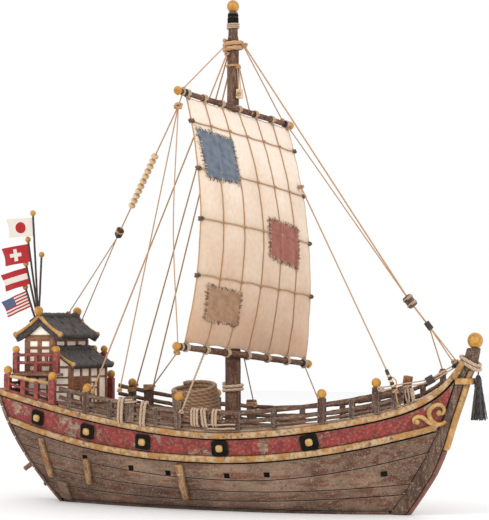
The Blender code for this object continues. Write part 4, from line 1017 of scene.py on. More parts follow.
for label, side in SIDES:
    pegs = []
    for plank, butts in BUTTS.items():
        beside_butts = [x + d for x in butts for d in (-PEG_FROM_BUTT, PEG_FROM_BUTT)]
        for x in beside_butts + FRAME_PLACES:
            low, high = (seam_z(seam, x) for seam in BOARDS[plank])
            for share in (0.28, 0.72) if x in beside_butts else (0.5,):
                z = low + (high - low) * share
                if stern_at(z) + PEG_FROM_END < x < stem_at(z) - PEG_FROM_END:
                    pegs.append(peg_head(*on_skin(x, z, side)))
    finish_piece(paint(join(pegs, "pegs"), PEG_WOOD), f"pegs_{label}", "hull", "worn_wood")
    print(f"{len(pegs)} pegs on the {label} side")

# %% [markdown]
# ### Gold rails, the red strake, and its fittings
# The two wales are thicker rails that frame the painted strake. Their long edges are rounded much more than
# a plank's, because hands and ropes have rubbed them. The black plates with their square gold studs are a
# block with rounded corners, a sunken ring made by two insets, and a cushion-shaped stud.
# %% Wales and red strakes
for label, side in SIDES:
    for wale in ("lower_wale", "upper_wale"):
        obj = skin_board((wale, -WALE_HALF), (wale, WALE_HALF), side, WALE_PROUD, rows=2)
        smooth(round_edges(whittle(obj, 0.0002, 0.012), 0.0016, 3, 40), 50)
        finish_piece(
            paint(obj, GOLD_RAIL), f"gold_rail_{wale}_{label}", "hull", "gold_paint", f"{wale}_{label}")
    obj = skin_board(("lower_wale", WALE_HALF), ("upper_wale", -WALE_HALF), side)
    smooth(round_edges(obj, 0.0003), 30)
    finish_piece(paint(obj, RED_HULL), f"painted_strake_{label}", "hull", "red_paint", f"red_strake_{label}")

# %% Plates and studs
PLATES = ((-0.1725, 0.0125), (-0.1170, 0.0135), (-0.0585, 0.0140), (0.0160, 0.0145), (0.0940, 0.0150))
PLATE_THICK, PLATE_HEIGHT = 0.0030, 0.0130
STUD_SIZE = 0.0064
# An edge or a face counts as facing out from the skin when the cosine of its angle is above this
ALONG = 0.9


def strake_middle(x):
    """Half way between the two gold rails."""
    return (seam_z("lower_wale", x) + seam_z("upper_wale", x)) / 2


def way_of(line):
    return (line.verts[1].co - line.verts[0].co).normalized()


def plate(x, width, side):
    """An iron plate with rounded corners and a sunken ring, and its stud."""
    z = strake_middle(x)
    rise = (strake_middle(x + 0.01) - strake_middle(x - 0.01)) / 0.02
    turn = skin_turn(x, z, side, rise)
    out = turn.col[1].to_3d()
    centre = on_skin(x, z, side)[0]
    iron = plain_box(centre, (width + 0.0004, PLATE_THICK, PLATE_HEIGHT + 0.0004), turn)
    start_edit(iron)
    bpy.ops.mesh.select_mode(type="EDGE")
    choose(iron, "edges", lambda line: abs(way_of(line).dot(out)) > ALONG)
    bpy.ops.mesh.bevel(offset=0.0024, segments=4)
    bpy.ops.mesh.select_mode(type="FACE")
    choose(iron, "faces", lambda face: face.normal.dot(out) > ALONG)
    bpy.ops.mesh.inset(thickness=0.0018)
    bpy.ops.mesh.inset(thickness=0.0007, depth=-0.0006)
    end_edit(iron)
    smooth(round_edges(iron, 0.0007, 3, 30), 40)
    stud = block(centre + out * 0.0022, (STUD_SIZE, 0.0046, STUD_SIZE), turn, 0.0021)
    return paint(iron, BLACK_IRON), smooth(paint(stud, STUD_GOLD), 60)


for label, side in SIDES:
    made = [plate(x, width, side) for x, width in PLATES]
    finish_piece(join([iron for iron, _ in made], "plates"), f"plates_{label}", "hull", "red_paint")
    finish_piece(join([stud for _, stud in made], "studs"), f"studs_{label}", "hull", "gold_paint")
print(f"{len(PLATES)} plates a side")
# %% [markdown]
# ## The coil of rope
# A spare rope lies coiled on the deck behind the mast. It is one rope of fixed length: each turn lies on
# the one below and is pressed into it a little, and the pile leans, because each turn is laid a little
# further aft than the last. The bare upper end is whipped with twine, so that it can't fray.
# %% Coiled rope
COIL_DIAMETER = 0.0037
COIL_RADIUS, COIL_TURNS, COIL_STEPS = 0.0192, 9.5, 16
COIL_LEAN, COIL_SPREAD, COIL_WANDER = 0.0040, 0.0018, 0.0002
COIL_RISE, COIL_TILT, COIL_LIFT = 0.0031, 0.0004, 0.0002
STRAND_SWELL = 1.12
low, high = (Vector(corner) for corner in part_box("rope_coil"))
coil_middle = (low + high) / 2
coil_points = []
for i in range(int(COIL_TURNS * COIL_STEPS) + 1):
    turn_number = i / COIL_STEPS
    angle = 2 * math.pi * turn_number - 0.6
    radius = COIL_RADIUS + COIL_SPREAD * (1.0 - turn_number / COIL_TURNS) ** 2
    radius += COIL_WANDER * math.sin(2.3 * angle)
    spacing = COIL_RISE + COIL_TILT * math.sin(angle)
    height = low.z + COIL_DIAMETER / 2 + COIL_LIFT + turn_number * spacing
    x = coil_middle.x + COIL_LEAN * (0.5 - turn_number / COIL_TURNS) + radius * math.cos(angle)
    coil_points.append(Vector((x, coil_middle.y + radius * math.sin(angle), height)))
coil = rope("coiled_rope", coil_points, COIL_DIAMETER * STRAND_SWELL, COIL_ROPE, 9, depth=0.08)
end_heading = (coil_points[-1] - coil_points[-2]).normalized()
whipping = winding(coil_points[-1] - end_heading * 0.004, end_heading, 0.0021, 4.0, 0.0008, PALE_ROPE)
finish_piece(coil, "coiled_rope", "hull", "rope", "rope_coil")
finish_piece(whipping, "coiled_rope_whipping", "hull", "rope")

# %% [markdown]
# ## Deck and transom
# The deck is laid in boards that run along the ship, and the transom is closed with boards that run across
# it. Both are copies of the imported solids: thin slots cut each into boards, which keeps every board's curve
# exactly where the solid has it, and the bevel then rounds all of their edges at once. A narrower dark copy
# of the transom's solid closes its slots from behind, and its dark colour is painted shade for the inside
# of the stern.
# %% Boards of the deck
BOARD_WIDTH = 0.0105
SLOT = 0.0005
rng = random.Random(4)
seams, ends = [], []
for i in range(-6, 7):
    y = (i - 0.5) * BOARD_WIDTH
    seams.append(plain_box((0.0, y, 0.1), (0.6, SLOT, 0.3)))
    for x in (-0.13, -0.02, 0.09):
        size = (SLOT, BOARD_WIDTH - SLOT / 2, 0.3)
        ends.append(plain_box((x + rng.uniform(-0.04, 0.04), y + BOARD_WIDTH / 2, 0.1), size))
boards = cut_away(cut_away(quads_of(solid_copy("deck")), seams), ends)
smooth(round_edges(boards, 0.0003, 1), 30)
finish_piece(paint(boards, DECK_WOOD), "deck_boards", "hull", "deck_wood", "deck")

# %% Boards of the transom
BACKING_WIDTH, BACKING_DEPTH = 0.95, 0.0009
PEG_INSET = Vector((0.003, 0.0030, 0.002))
slots = [plain_box((-0.2, 0.0, z), (0.3, 0.2, SLOT)) for z in (0.016, 0.031, 0.045, 0.060, 0.074, 0.088)]
closed_stern = cut_away(quads_of(solid_copy("transom")), slots)
smooth(round_edges(closed_stern, 0.0006), 30)
# A dark copy behind the transom's slots: painted shade for the inside of the stern
shade_backing = solid_copy("transom")
for vertex in shade_backing.data.vertices:
    vertex.co.y *= BACKING_WIDTH
    vertex.co.x += BACKING_DEPTH
paint(shade_backing, DARK_WOOD)
closed_stern = join([paint(closed_stern, STERN_WOOD), shade_backing], "transom boards")
finish_piece(closed_stern, "transom_boards", "hull", "worn_wood", "transom")
# Height of the root, radius, reach aft and drop
STERN_PEGS = ((0.0370, 0.0024, 0.0100, 0.0070), (0.0180, 0.0018, 0.0050, 0.0025))
pegs = []
for z, radius, reach, drop in STERN_PEGS:
    for label, side in SIDES:
        inside = side * (half_width(stern_at(z), z) - PEG_INSET.y)
        root = Vector((stern_at(z) + PEG_INSET.x, inside, z + PEG_INSET.z))
        peg = bar(root, root - Vector((reach + PEG_INSET.x, 0.0, drop + PEG_INSET.z)), radius)
        pegs.append(whittled(peg, HULL_WOOD, 0.0003, 0.004, angle=50))
finish_piece(join(pegs, "stern pegs"), "stern_pegs", "hull", "worn_wood")

# %% [markdown]
# ## The stem
# The stem is a raked timber with a gold strip down its front, a gold bracket across its side and a red
# strip below. A ball crowns it, two turns of pale rope are pulled round its head, and a black tassel hangs
# in front. The timbers are bevelled copies of the solids, whose edges a knife has gone over.
# %% Stem timber, strips and bracket
for node, edge_width, material, slot in (
    ("stem", 0.0010, POST_WOOD, "worn_wood"),
    ("stem_trim", 0.0013, GOLD_TRIM, "gold_paint"),
    ("stem_shoe", 0.0010, RED_SHOE, "red_paint"),
    ("stem_band", 0.0008, GOLD_TRIM, "gold_paint"),
):
    obj = round_edges(quads_of(solid_copy(node)), edge_width, 3, 40)
    finish_piece(whittled(obj, material, 0.00018, 0.01, angle=45), f"{node}_timber", "hull", slot, node)
crown = ball((0.2262, 0.0, 0.1494), 0.0067, 32)
finish_piece(paint(crown, GOLD_BALL), "stem_crown_ball", "hull", "gold_paint", "stem_ball")

# %% Rope round the stem's head
LASHING_CENTRE = Vector((0.2220, 0.0, 0.1302))
LASHING_RADII = (0.0076, 0.0068)
LASHING_TURNS, LASHING_STEPS, LASHING_RISE, LASHING_SLOPE = 2.0, 20, 0.0036, -0.62
points = []
for i in range(int(LASHING_TURNS * LASHING_STEPS) + 1):
    angle = 2 * math.pi * i / LASHING_STEPS + math.pi / 2
    across, along = math.sin(angle), math.cos(angle)
    reach = (across ** 4 + along ** 4) ** -0.25
    x, y = LASHING_RADII[0] * along * reach, LASHING_RADII[1] * across * reach
    rise = LASHING_SLOPE * x + LASHING_RISE * (i / LASHING_STEPS - LASHING_TURNS / 2)
    points.append(LASHING_CENTRE + Vector((x, y, rise)))
lashing = rope("stem_rope_turns", points, 0.0034, PALE_ROPE, 9)
finish_piece(lashing, "stem_rope_turns", "hull", "rope", "stem_lashing")

# %% [markdown]
# ### The tassel
# A tassel is a bundle of threads, tied at the neck so that the top forms a ball and the rest flares out.
# Each strand is a thin tube with its own slight wave, so the hem ends unevenly, as it does on the real one.
# %% Tassel
TASSEL_TOP = Vector((0.2285, 0.0, 0.1200))
TASSEL_LENGTH = 0.0380
rng = random.Random(11)
strands = []
for i in range(64):
    angle, reach = rng.uniform(0, 2 * math.pi), math.sqrt(rng.random())
    spread = Vector((math.cos(angle), math.sin(angle), 0.0))
    wave = Vector((rng.uniform(-1, 1), rng.uniform(-1, 1), 0.0)) * 0.0005
    length = TASSEL_LENGTH * rng.uniform(0.95, 1.0)
    points = [TASSEL_TOP + spread * 0.0008 * reach]
    for s, radius in ((0.08, 0.0024), (0.20, 0.0025), (0.45, 0.0036), (0.75, 0.0050), (1.0, 0.0062)):
        points.append(TASSEL_TOP + spread * radius * reach + wave * s * 4 + Vector((0.0, 0.0, -length * s)))
    strands.append(rope("strand", points, rng.uniform(0.0010, 0.0014), TASSEL_THREAD, 4, 6.0, 3, 0.1))
neck_at = TASSEL_TOP + Vector((0.0, 0.0, -0.0078))
strands.append(winding(neck_at, (0, 0, 1), 0.0029, 3.0, 0.0011, TASSEL_THREAD))
hanger = [(0.2292, 0.0, 0.1262), TASSEL_TOP + Vector((0.0004, 0, 0.003)), TASSEL_TOP]
strands.append(rope("cord", hanger, 0.0014, BLACK_LINE))
finish_piece(join(strands, "tassel"), "stem_tassel", "hull", "black_fringe", "tassel")

# %% [markdown]
# ### Scrollwork
# Two gold scrolls are carved on each side of the bow: a curl with a spiral eye, and a wave that runs aft
# into a smaller curl and forward along the lower rail to the stem. The carver draws a line and gives it a
# round section that swells and thins, and the same is done here with a bar that is laid along the line on
# the red strake.
# %% Carved scrolls
# X and height of points along each line
CURL = (
    (0.2018, 0.0812), (0.1980, 0.0787), (0.1934, 0.0789), (0.1896, 0.0828), (0.1885, 0.0880),
    (0.1906, 0.0927), (0.1953, 0.0953), (0.1993, 0.0936), (0.2000, 0.0897), (0.1982, 0.0873),
    (0.1958, 0.0884))
WAVE = (
    (0.2006, 0.0803), (0.1966, 0.0782), (0.1919, 0.0780), (0.1876, 0.0807), (0.1837, 0.0844),
    (0.1796, 0.0850), (0.1767, 0.0824), (0.1773, 0.0798), (0.1791, 0.0807))
SCROLL_STOCK = 0.05
SCROLL_ENDS, SCROLL_SWELL, SCROLL_FLAT = (0.8, 0.75), 0.25, 0.8


def scroll(line, side, thick):
    """A carved line that swells in the middle and ends in an eye."""
    route = [on_skin(x, z, side, 0.0006)[0] for x, z in line]
    out = on_skin(*line[4], side)[1]
    obj = bar((0, 0, 0), (SCROLL_STOCK, 0, 0), thick / 2, 10, 40)
    for vertex in obj.data.vertices:
        s = vertex.co.x / SCROLL_STOCK
        swell = SCROLL_ENDS[0] + (SCROLL_ENDS[1] - SCROLL_ENDS[0]) * s + SCROLL_SWELL * math.sin(math.pi * s)
        vertex.co.y *= swell
        vertex.co.z *= swell * SCROLL_FLAT
    lay_along(obj, route, out)
    eye = ball(route[-1] + out * 0.0002, thick * 0.62, 14)
    return [smooth(paint(obj, GOLD_TRIM), 50), paint(eye, GOLD_TRIM)]


for label, side in SIDES:
    made = scroll(CURL, side, 0.0042) + scroll(WAVE, side, 0.0040)
    finish_piece(join(made, "scrolls"), f"scrolls_{label}", "hull", "gold_paint")

# %% Ends of the upper gold rails
for label, side in SIDES:
    start = on_skin(0.2085, seam_z("upper_wale", 0.2085), side, 0.0006)[0]
    end = Vector((0.2176, side * 0.0066, 0.1318))
    horn = bar(start, end, 0.0031, 12, 6, 0.0026)
    whittled(horn, GOLD_RAIL, 0.0002, 0.006, side, 50)
    finish_piece(horn, f"gold_rail_horn_{label}", "hull", "gold_paint")

# %% [markdown]
# ## Fences
# The rail round the deck looks hand-tied: squarish posts that stand in a thin cap strip, crooked round
# rails, and turned gold balls on the main posts. Perfect posts and rails would look like a toy from a
# mould, so each is gone over with the same whittling noise, with a different seed, before it is joined to
# its fence.
# %% Posts and rails
POST_WIDTHS = {"ball": 0.0066, "thick": 0.0084, "baluster": 0.0046}
POST_DEPTH = 0.0056
FENCE_BALL_R = 0.0041
# Place along the ship, kind, and height
STARBOARD_POSTS = (
    (-0.1355, "baluster", 0.0165), (-0.1165, "ball", 0.0185), (-0.0913, "baluster", 0.0165),
    (-0.0703, "thick", 0.0225), (-0.0443, "baluster", 0.0165), (-0.0224, "ball", 0.0245),
    (0.0049, "baluster", 0.0165), (0.0335, "baluster", 0.0165), (0.0648, "baluster", 0.0165),
    (0.1051, "ball", 0.0215), (0.1296, "baluster", 0.0165), (0.1487, "ball", 0.0225),
    (0.1632, "baluster", 0.0165))
PORT_POSTS = (
    (-0.1330, "ball", 0.0175), (-0.1161, "thick", 0.0225), (-0.0800, "baluster", 0.0165),
    (-0.0460, "ball", 0.0215), (-0.0103, "thick", 0.0225), (0.0425, "baluster", 0.0165),
    (0.0850, "baluster", 0.0165), (0.1423, "baluster", 0.0165), (0.1721, "baluster", 0.0165),
    (0.1935, "baluster", 0.0190))
FENCE_X = (-0.1470, 0.1960)
TOP_RAIL, MIDDLE_RAIL = 0.0160, 0.0084
RAIL_ENDS = {-1: 0.1700, 1: 0.1960}
EDGE_STEP = 0.008
CAP_SIZE, CAP_INSET = (0.0060, 0.0020), 0.0018


def hewn_post(foot, width, depth, height, material, seed):
    obj = block(Vector(foot) + raised(height / 2), (width, depth, height), None, 0.0007, 3)
    return whittled(obj, material, 0.00028, 0.005, seed)


def crooked_rail(points, radius, material, seed, lump=0.0003):
    """A round rail with knots and bends, as if cut from a branch."""
    length = length_of(points)
    obj = bar((0, 0, 0), (length, 0, 0), radius, 9, max(3, int(length / 0.0035)))
    whittle(obj, lump, 0.006, seed)
    return smooth(paint(lay_along(obj, points), material), 60)


def edge_route(start, end, side, up):
    count = max(2, round((end - start) / EDGE_STEP))
    return [edge(start + (end - start) * i / count, side, up) for i in range(count + 1)]


def cap_strip(start, end, side, material):
    """The thin strip that the posts stand in, a little inboard of the hull's edge."""
    route = [point - Vector((0.0, side * CAP_INSET, 0.0)) for point in edge_route(start, end, side, 0.0009)]
    obj = stock(end - start, *CAP_SIZE, 0.0005, int((end - start) / 0.006))
    return smooth(paint(lay_along(obj, route), material), 40)


# %% Wooden fences
for (label, side), posts in zip(SIDES, (STARBOARD_POSTS, PORT_POSTS)):
    parts = [cap_strip(*FENCE_X, side, CAP_WOOD)]
    balls = []
    for x, kind, height in posts:
        width = POST_WIDTHS[kind]
        foot = edge(x, side, 0.0004)
        parts.append(hewn_post(foot, width, min(width, POST_DEPTH), height, POST_WOOD, 10 * x + side))
        if kind == "ball":
            balls.append(ball(foot + raised(height + FENCE_BALL_R * 0.86), FENCE_BALL_R))
    for up, radius in ((TOP_RAIL, 0.0020), (MIDDLE_RAIL, 0.0019), (0.0040, 0.0013)):
        stretches = ((FENCE_X[0], -0.0224), (-0.0250, 0.1051), (0.1020, RAIL_ENDS[side]))
        for i, (start, end) in enumerate(stretches):
            route = edge_route(start, end, side, up + 0.0005 * (i % 2))
            parts.append(crooked_rail(route, radius, RAIL_WOOD, i + 3 * side + up * 90, 0.0005))
    finish_piece(join(parts, "fence"), f"fence_rails_{label}", "hull", "worn_wood", f"fence_{label}")
    finish_balls(balls, f"fence_balls_{label}")
print(f"{len(STARBOARD_POSTS) + len(PORT_POSTS)} posts on both sides")

# %% Red fence round the stern
RED_X = (-0.2090, -0.1520)
# Place along the ship, width, height, and whether a ball crowns it
RED_POSTS = (
    (-0.2060, 0.0060, 0.0155, True), (-0.1878, 0.0045, 0.0150, False), (-0.1726, 0.0045, 0.0165, False),
    (-0.1550, 0.0060, 0.0215, True))
RED_TOP, RED_MIDDLE = (0.0138, 0.0190), 0.0072


def red_top(x):
    """The height of the golden top rail, which climbs towards the castle."""
    return RED_TOP[0] + (RED_TOP[1] - RED_TOP[0]) * (x - RED_X[0]) / (RED_X[1] - RED_X[0])


aft = edge(RED_X[0], 1)
parts, balls, golden = [], [], []
for side in (-1, 1):
    parts.append(cap_strip(*RED_X, side, RED_POST))
    for x, width, height, crowned in RED_POSTS:
        foot = edge(x, side, 0.0004)
        parts.append(hewn_post(foot, width, min(width, POST_DEPTH), height, RED_POST, 9 * x + side))
        if crowned:
            balls.append(ball(foot + raised(height + 0.0032), 0.0040))
    route = [edge(x, side, red_top(x)) for x in (-0.2080, -0.1940, -0.1800, -0.1660, -0.1530)]
    golden.append(crooked_rail(route, 0.0017, GOLD_STICK, side))
    parts.append(crooked_rail(edge_route(-0.2080, -0.1540, side, RED_MIDDLE), 0.0015, RED_POST, side + 5))
for up, material, bin_ in ((red_top(-0.2080), GOLD_STICK, golden), (RED_MIDDLE, RED_POST, parts)):
    corner = edge(-0.2060, 1, up)
    points = [(corner.x - 0.0012, y, corner.z) for y in (-corner.y, -0.02, 0.02, corner.y)]
    bin_.append(crooked_rail(points, 0.0015, material, up * 70))
strip = block((aft.x + 0.0023, 0.0, aft.z + 0.0010), (0.0050, 2 * aft.y + 0.004, 0.0016), None, 0.0004)
parts.append(smooth(paint(strip, RED_POST)))
for i, y in enumerate((-0.025, 0.0, 0.025)):
    parts.append(hewn_post((aft.x + 0.0016, y, aft.z + 0.0006), 0.0038, 0.0042, 0.0140, RED_POST, y * 50))
finish_piece(join(parts, "red fence"), "red_fence_rails", "hull", "red_paint", "stern_fence")
finish_piece(join(golden, "golden rails"), "red_fence_top_rails", "hull", "gold_paint")
finish_balls(balls, "red_fence_balls")

# %% [markdown]
# ## The stern castle
# The little castle has two storeys: cream panels behind a brown timber frame, a veranda with a red fence,
# and roofs of charcoal shingles with gold rakes. Walls with painted strips would be flat, so the panels are
# one bevelled core and every timber stands a millimetre proud of it. A wall is described by where its
# timbers are, and one function builds all eight walls.
# %% Timber frames
FRAME_PROUD = 0.0010


def timber_frame(corner, right, out, uprights, sills):
    """Timbers on a wall. Uprights: place, low, high, width. Sills: height, left, right, width."""
    corner, right, out = Vector(corner), Vector(right), Vector(out)
    turn = Matrix((right, out, raised(1.0))).transposed().to_4x4()
    parts = []
    for place, low, high, width in uprights:
        centre = corner + right * place + raised((low + high) / 2) + out * FRAME_PROUD * 0.1
        parts.append(block(centre, (width, FRAME_PROUD * 2, high - low), turn, 0.0003))
    for height, left, far, width in sills:
        centre = corner + right * (left + far) / 2 + raised(height)
        parts.append(block(centre, (far - left, FRAME_PROUD * 1.8, width), turn, 0.0003))
    return [smooth(paint(part, LATTICE)) for part in parts]


UPPER_HALF, HALF = 0.0310, 0.0330
UPPER_X = (-0.1980, -0.1676)
LOWER_X = (-0.1960, -0.1480)
upper_floor = 0.1193
timbers = []
width = UPPER_X[1] - UPPER_X[0]
for side in (-1, 1):
    uprights = [(0.0024, 0.0, 0.0315, 0.0045), (0.0152, 0.0, 0.0300, 0.0042), (0.0280, 0.0, 0.0315, 0.0045)]
    sills = [(0.0008, 0.0, width, 0.0020), (0.0068, 0.0, width, 0.0016), (0.0175, 0.0, width, 0.0020),
             (0.0229, 0.0, width, 0.0026), (0.0305, 0.0, width, 0.0026)]
    corner = (UPPER_X[0], side * UPPER_HALF, upper_floor)
    sills.append((0.0335, 0.0012, width - 0.0012, 0.0028))
    timbers += timber_frame(corner, (1, 0, 0), (0, side, 0), uprights, sills)
width = 2 * UPPER_HALF
for x, out in ((UPPER_X[0], -1), (UPPER_X[1], 1)):
    uprights = [(place, 0.0, 0.0300, 0.0040) for place in (0.0015, width / 3, 2 * width / 3, width - 0.0015)]
    sills = [(height, 0.0, width, 0.0020) for height in (0.0008, 0.0185)] + [(0.0300, 0.0, width, 0.0026)]
    timbers += timber_frame((x, -UPPER_HALF, upper_floor), (0, 1, 0), (out, 0, 0), uprights, sills)
core = smooth(round_edges(quads_of(solid_copy("upper_house")), 0.0004), 30)
finish_piece(paint(core, PANEL), "upper_walls", "hull", "wall_panel", "upper_house")
finish_piece(join(timbers, "timbers"), "upper_timbers", "hull", "dark_wood")

# %% Lower storey
timbers, doors = [], []
for side in (-1, 1):
    corner = (LOWER_X[0], side * HALF, 0.0)
    uprights = [(0.0012, rail_z(-0.195), 0.1160, 0.0026), (0.0120, rail_z(-0.184), 0.1160, 0.0015),
                (0.0225, rail_z(-0.174), 0.1160, 0.0015), (0.0292, rail_z(-0.167), 0.1370, 0.0028),
                (0.0466, rail_z(-0.150), 0.1265, 0.0028)]
    sills = [
        (0.1020, 0.0290, 0.0480, 0.0015), (0.1040, 0.0, 0.0290, 0.0015), (0.1150, 0.0290, 0.0480, 0.0015),
        (0.1245, 0.0290, 0.0480, 0.0020), (0.1152, 0.0, 0.0290, 0.0020), (0.1082, 0.0290, 0.0480, 0.0016)]
    timbers += timber_frame(corner, (1, 0, 0), (0, side, 0), uprights, sills)
width = 2 * HALF
deck_level = rail_z(LOWER_X[1])
uprights = [(place, deck_level, 0.1255, 0.0030) for place in (0.0012, 0.0172, 0.0337, 0.0495, 0.0648)]
sills = [(height, 0.0, width, 0.0018) for height in (deck_level + 0.0008, 0.1152)]
sills.append((0.1240, 0.0, width, 0.0024))
sills += [(height, 0.0337, 0.0495, 0.0016) for height in (0.1050, 0.1100)]
uprights.append((0.0416, deck_level, 0.1100, 0.0014))
timbers += timber_frame((LOWER_X[1], -HALF, 0.0), (0, 1, 0), (1, 0, 0), uprights, sills)
for place in (0.0092, 0.0254):
    board = block((LOWER_X[1] + 0.0003, -HALF + place, 0.1087), (0.0012, 0.0130, 0.0118), None, 0.0003)
    doors.append(smooth(paint(board, DOOR_WOOD), 40))
    rows = [(place + step, 0.1028, 0.1146, 0.0010) for step in (-0.0045, -0.0015, 0.0015, 0.0045)]
    cross = [(height, place - 0.0062, place + 0.0062, 0.0010) for height in (0.1055, 0.1087, 0.1119)]
    doors += timber_frame((LOWER_X[1] + 0.0004, -HALF, 0.0), (0, 1, 0), (1, 0, 0), rows, cross)
places = (0.0012, width / 4, width / 2, 3 * width / 4, width - 0.0012)
uprights = [(place, rail_z(-0.195), 0.1160, 0.0022) for place in places]
sills = [(height, 0.0, width, 0.0016) for height in (rail_z(-0.195) + 0.001, 0.1085, 0.1150)]
timbers += timber_frame((LOWER_X[0], -HALF, 0.0), (0, 1, 0), (-1, 0, 0), uprights, sills)
core = smooth(round_edges(quads_of(solid_copy("lower_house")), 0.0004), 30)
finish_piece(paint(core, PANEL), "lower_walls", "hull", "wall_panel", "lower_house")
finish_piece(join(timbers + doors, "timbers"), "lower_timbers", "hull", "dark_wood")

# %% Veranda
VERANDA_TOP = 0.1190
slots = [plain_box((-0.18, y, 0.118), (0.08, SLOT, 0.01)) for y in (-0.0405, -0.0345, 0.0345, 0.0405)]
slots.append(plain_box((-0.2005, 0.0, 0.118), (SLOT, 0.11, 0.01)))
floor_boards = quads_of(solid_copy("veranda"))
for cutter in slots:
    cut_away(floor_boards, [cutter])
smooth(round_edges(whittle(floor_boards, 0.0002, 0.01), 0.0004), 30)
finish_piece(paint(floor_boards, CAP_WOOD), "veranda_boards", "hull", "worn_wood", "veranda")
VERANDA_Y = 0.0445
VERANDA_POSTS = (-0.2000, -0.1785, -0.1570)
VERANDA_RAILS = (0.1285, 0.1355)
parts, balls = [], []
for side in (-1, 1):
    y = side * VERANDA_Y
    for i, x in enumerate(VERANDA_POSTS):
        width, high = (0.0036, 0.1350) if i == 1 else (0.0052, 0.1380)
        foot = (x, y, VERANDA_TOP)
        parts.append(hewn_post(foot, width, width, high - VERANDA_TOP, RED_POST, x * 30 + side))
        if i != 1:
            balls.append(ball((x, y, high + 0.0026), 0.0034))
    for x in (-0.1892, -0.1677):
        parts.append(hewn_post((x, y, VERANDA_RAILS[0]), 0.0028, 0.0028, 0.0070, RED_POST, x * 50 + side))
    for z in VERANDA_RAILS:
        route = [(VERANDA_POSTS[0], y, z), (VERANDA_POSTS[1], y, z + 0.0002), (VERANDA_POSTS[2], y, z)]
        parts.append(crooked_rail(route, 0.0015, RED_POST, z * 90 + side))
    strip = block((VERANDA_POSTS[1], y, VERANDA_TOP + 0.0008), (0.0430, 0.0034, 0.0014), None, 0.0004)
    parts.append(smooth(paint(strip, RED_POST)))
for z in VERANDA_RAILS:
    points = [(VERANDA_POSTS[0], y, z) for y in (-VERANDA_Y, 0.0, VERANDA_Y)]
    parts.append(crooked_rail(points, 0.0014, RED_POST, z * 70))
for y in (-0.0220, 0.0, 0.0220):
    parts.append(hewn_post((VERANDA_POSTS[0], y, VERANDA_TOP), 0.0034, 0.0034, 0.0165, RED_POST, y * 90))
strip = block((VERANDA_POSTS[0], 0.0, VERANDA_TOP + 0.0008), (0.0034, 2 * VERANDA_Y, 0.0014), None, 0.0004)
parts.append(smooth(paint(strip, RED_POST)))
finish_piece(join(parts, "veranda fence"), "veranda_fence_rails", "hull", "red_paint", "veranda_fence")
finish_balls(balls, "veranda_fence_balls")

# %% [markdown]
# ### Roofs
# Each roof slope hangs in a slight hollow curve. Its base is a thick slab, and small shingles lie on it in
# rows that overlap like fish scales. One shingle is modelled, as a thin block with a rounded lower corner,
# and copied with a small random shift and turn, because rows in perfect order would look printed.
# %% One shingle and a roof slope
SHINGLE_SIZE = (0.0070, 0.0060, 0.0015)
SHINGLE_SPACING = 0.0056


def one_shingle():
    obj = plain_box((0.0, 0.0, 0.0), SHINGLE_SIZE)
    return paint(smooth(round_edges(obj, 0.00045, 2), 40), SHINGLE)


def slope_point(start, end, sag, s):
    """A point of a roof's section, x and z, from the ridge at 0 to the eave at 1."""
    x, z = (a + (b - a) * s for a, b in zip(start, end))
    return (x, z - sag * math.sin(math.pi * s))


def roof_slope(start, end, sag, half, thick, rows, seed):
    """A slab and its shingles, from the ridge down to an eave."""
    length = math.dist(start, end)
    slab = stock(length, 2 * half, thick, 0.0008, 8)
    route = [(x, 0.0, z) for x, z in (slope_point(start, end, sag, i / 8) for i in range(9))]
    lay_along(slab, [Vector(p) - raised(thick / 2 + 0.0004) for p in route])
    parts = [smooth(paint(slab, SHINGLE), 40)]
    rng = random.Random(seed)
    pattern = one_shingle()
    columns = round(2 * half / SHINGLE_SPACING)
    for row in range(rows):
        s = (row + 0.45) / rows
        x, z = slope_point(start, end, sag, s)
        x_next, z_next = slope_point(start, end, sag, s + 0.02)
        pitch = math.atan2(z_next - z, x_next - x)
        for column in range(columns):
            y = -half + (column + 0.5 + 0.5 * (row % 2) - 0.25) * 2 * half / columns
            y += rng.uniform(-0.0003, 0.0003)
            piece = pattern.copy()
            piece.data = pattern.data.copy()
            bpy.context.scene.collection.objects.link(piece)
            lift = 0.0009 + rng.uniform(-0.0004, 0.0009)
            place = Matrix.Translation((x, max(-half + 0.002, min(half - 0.002, y)), z + lift))
            slope = -pitch + (0.12 + rng.uniform(-0.05, 0.05)) * (1 if x_next > x else -1)
            skew = Matrix.Rotation(rng.uniform(-0.06, 0.06), 4, "Z")
            piece.matrix_world = place @ Matrix.Rotation(slope, 4, "Y") @ skew
            parts.append(fix_place(piece))
    bpy.data.objects.remove(pattern, do_unlink=True)
    return parts


def gold_rake(start, end, sag, y, radius, lift):
    """A gold bar along the edge of a slope, that turns up to a ball at the eave."""
    points = []
    for i in range(9):
        x, z = slope_point(start, end, sag, i / 8)
        points.append((x, y, z + lift + 0.0010 * max(0.0, i / 8 - 0.7)))
    length = math.dist(start, end)
    obj = bar((0, 0, 0), (length, 0, 0), radius, 12, 20)
    for vertex in obj.data.vertices:
        thin = 1.0 - 0.25 * math.sin(math.pi * vertex.co.x / length)
        vertex.co.y *= thin
        vertex.co.z *= thin
    lay_along(obj, points)
    whittle(obj, 0.00015, 0.006, y * 30)
    return [smooth(paint(obj, GOLD_TRIM), 60), paint(ball(Vector(points[-1]), radius * 1.35, 14), GOLD_TRIM)]


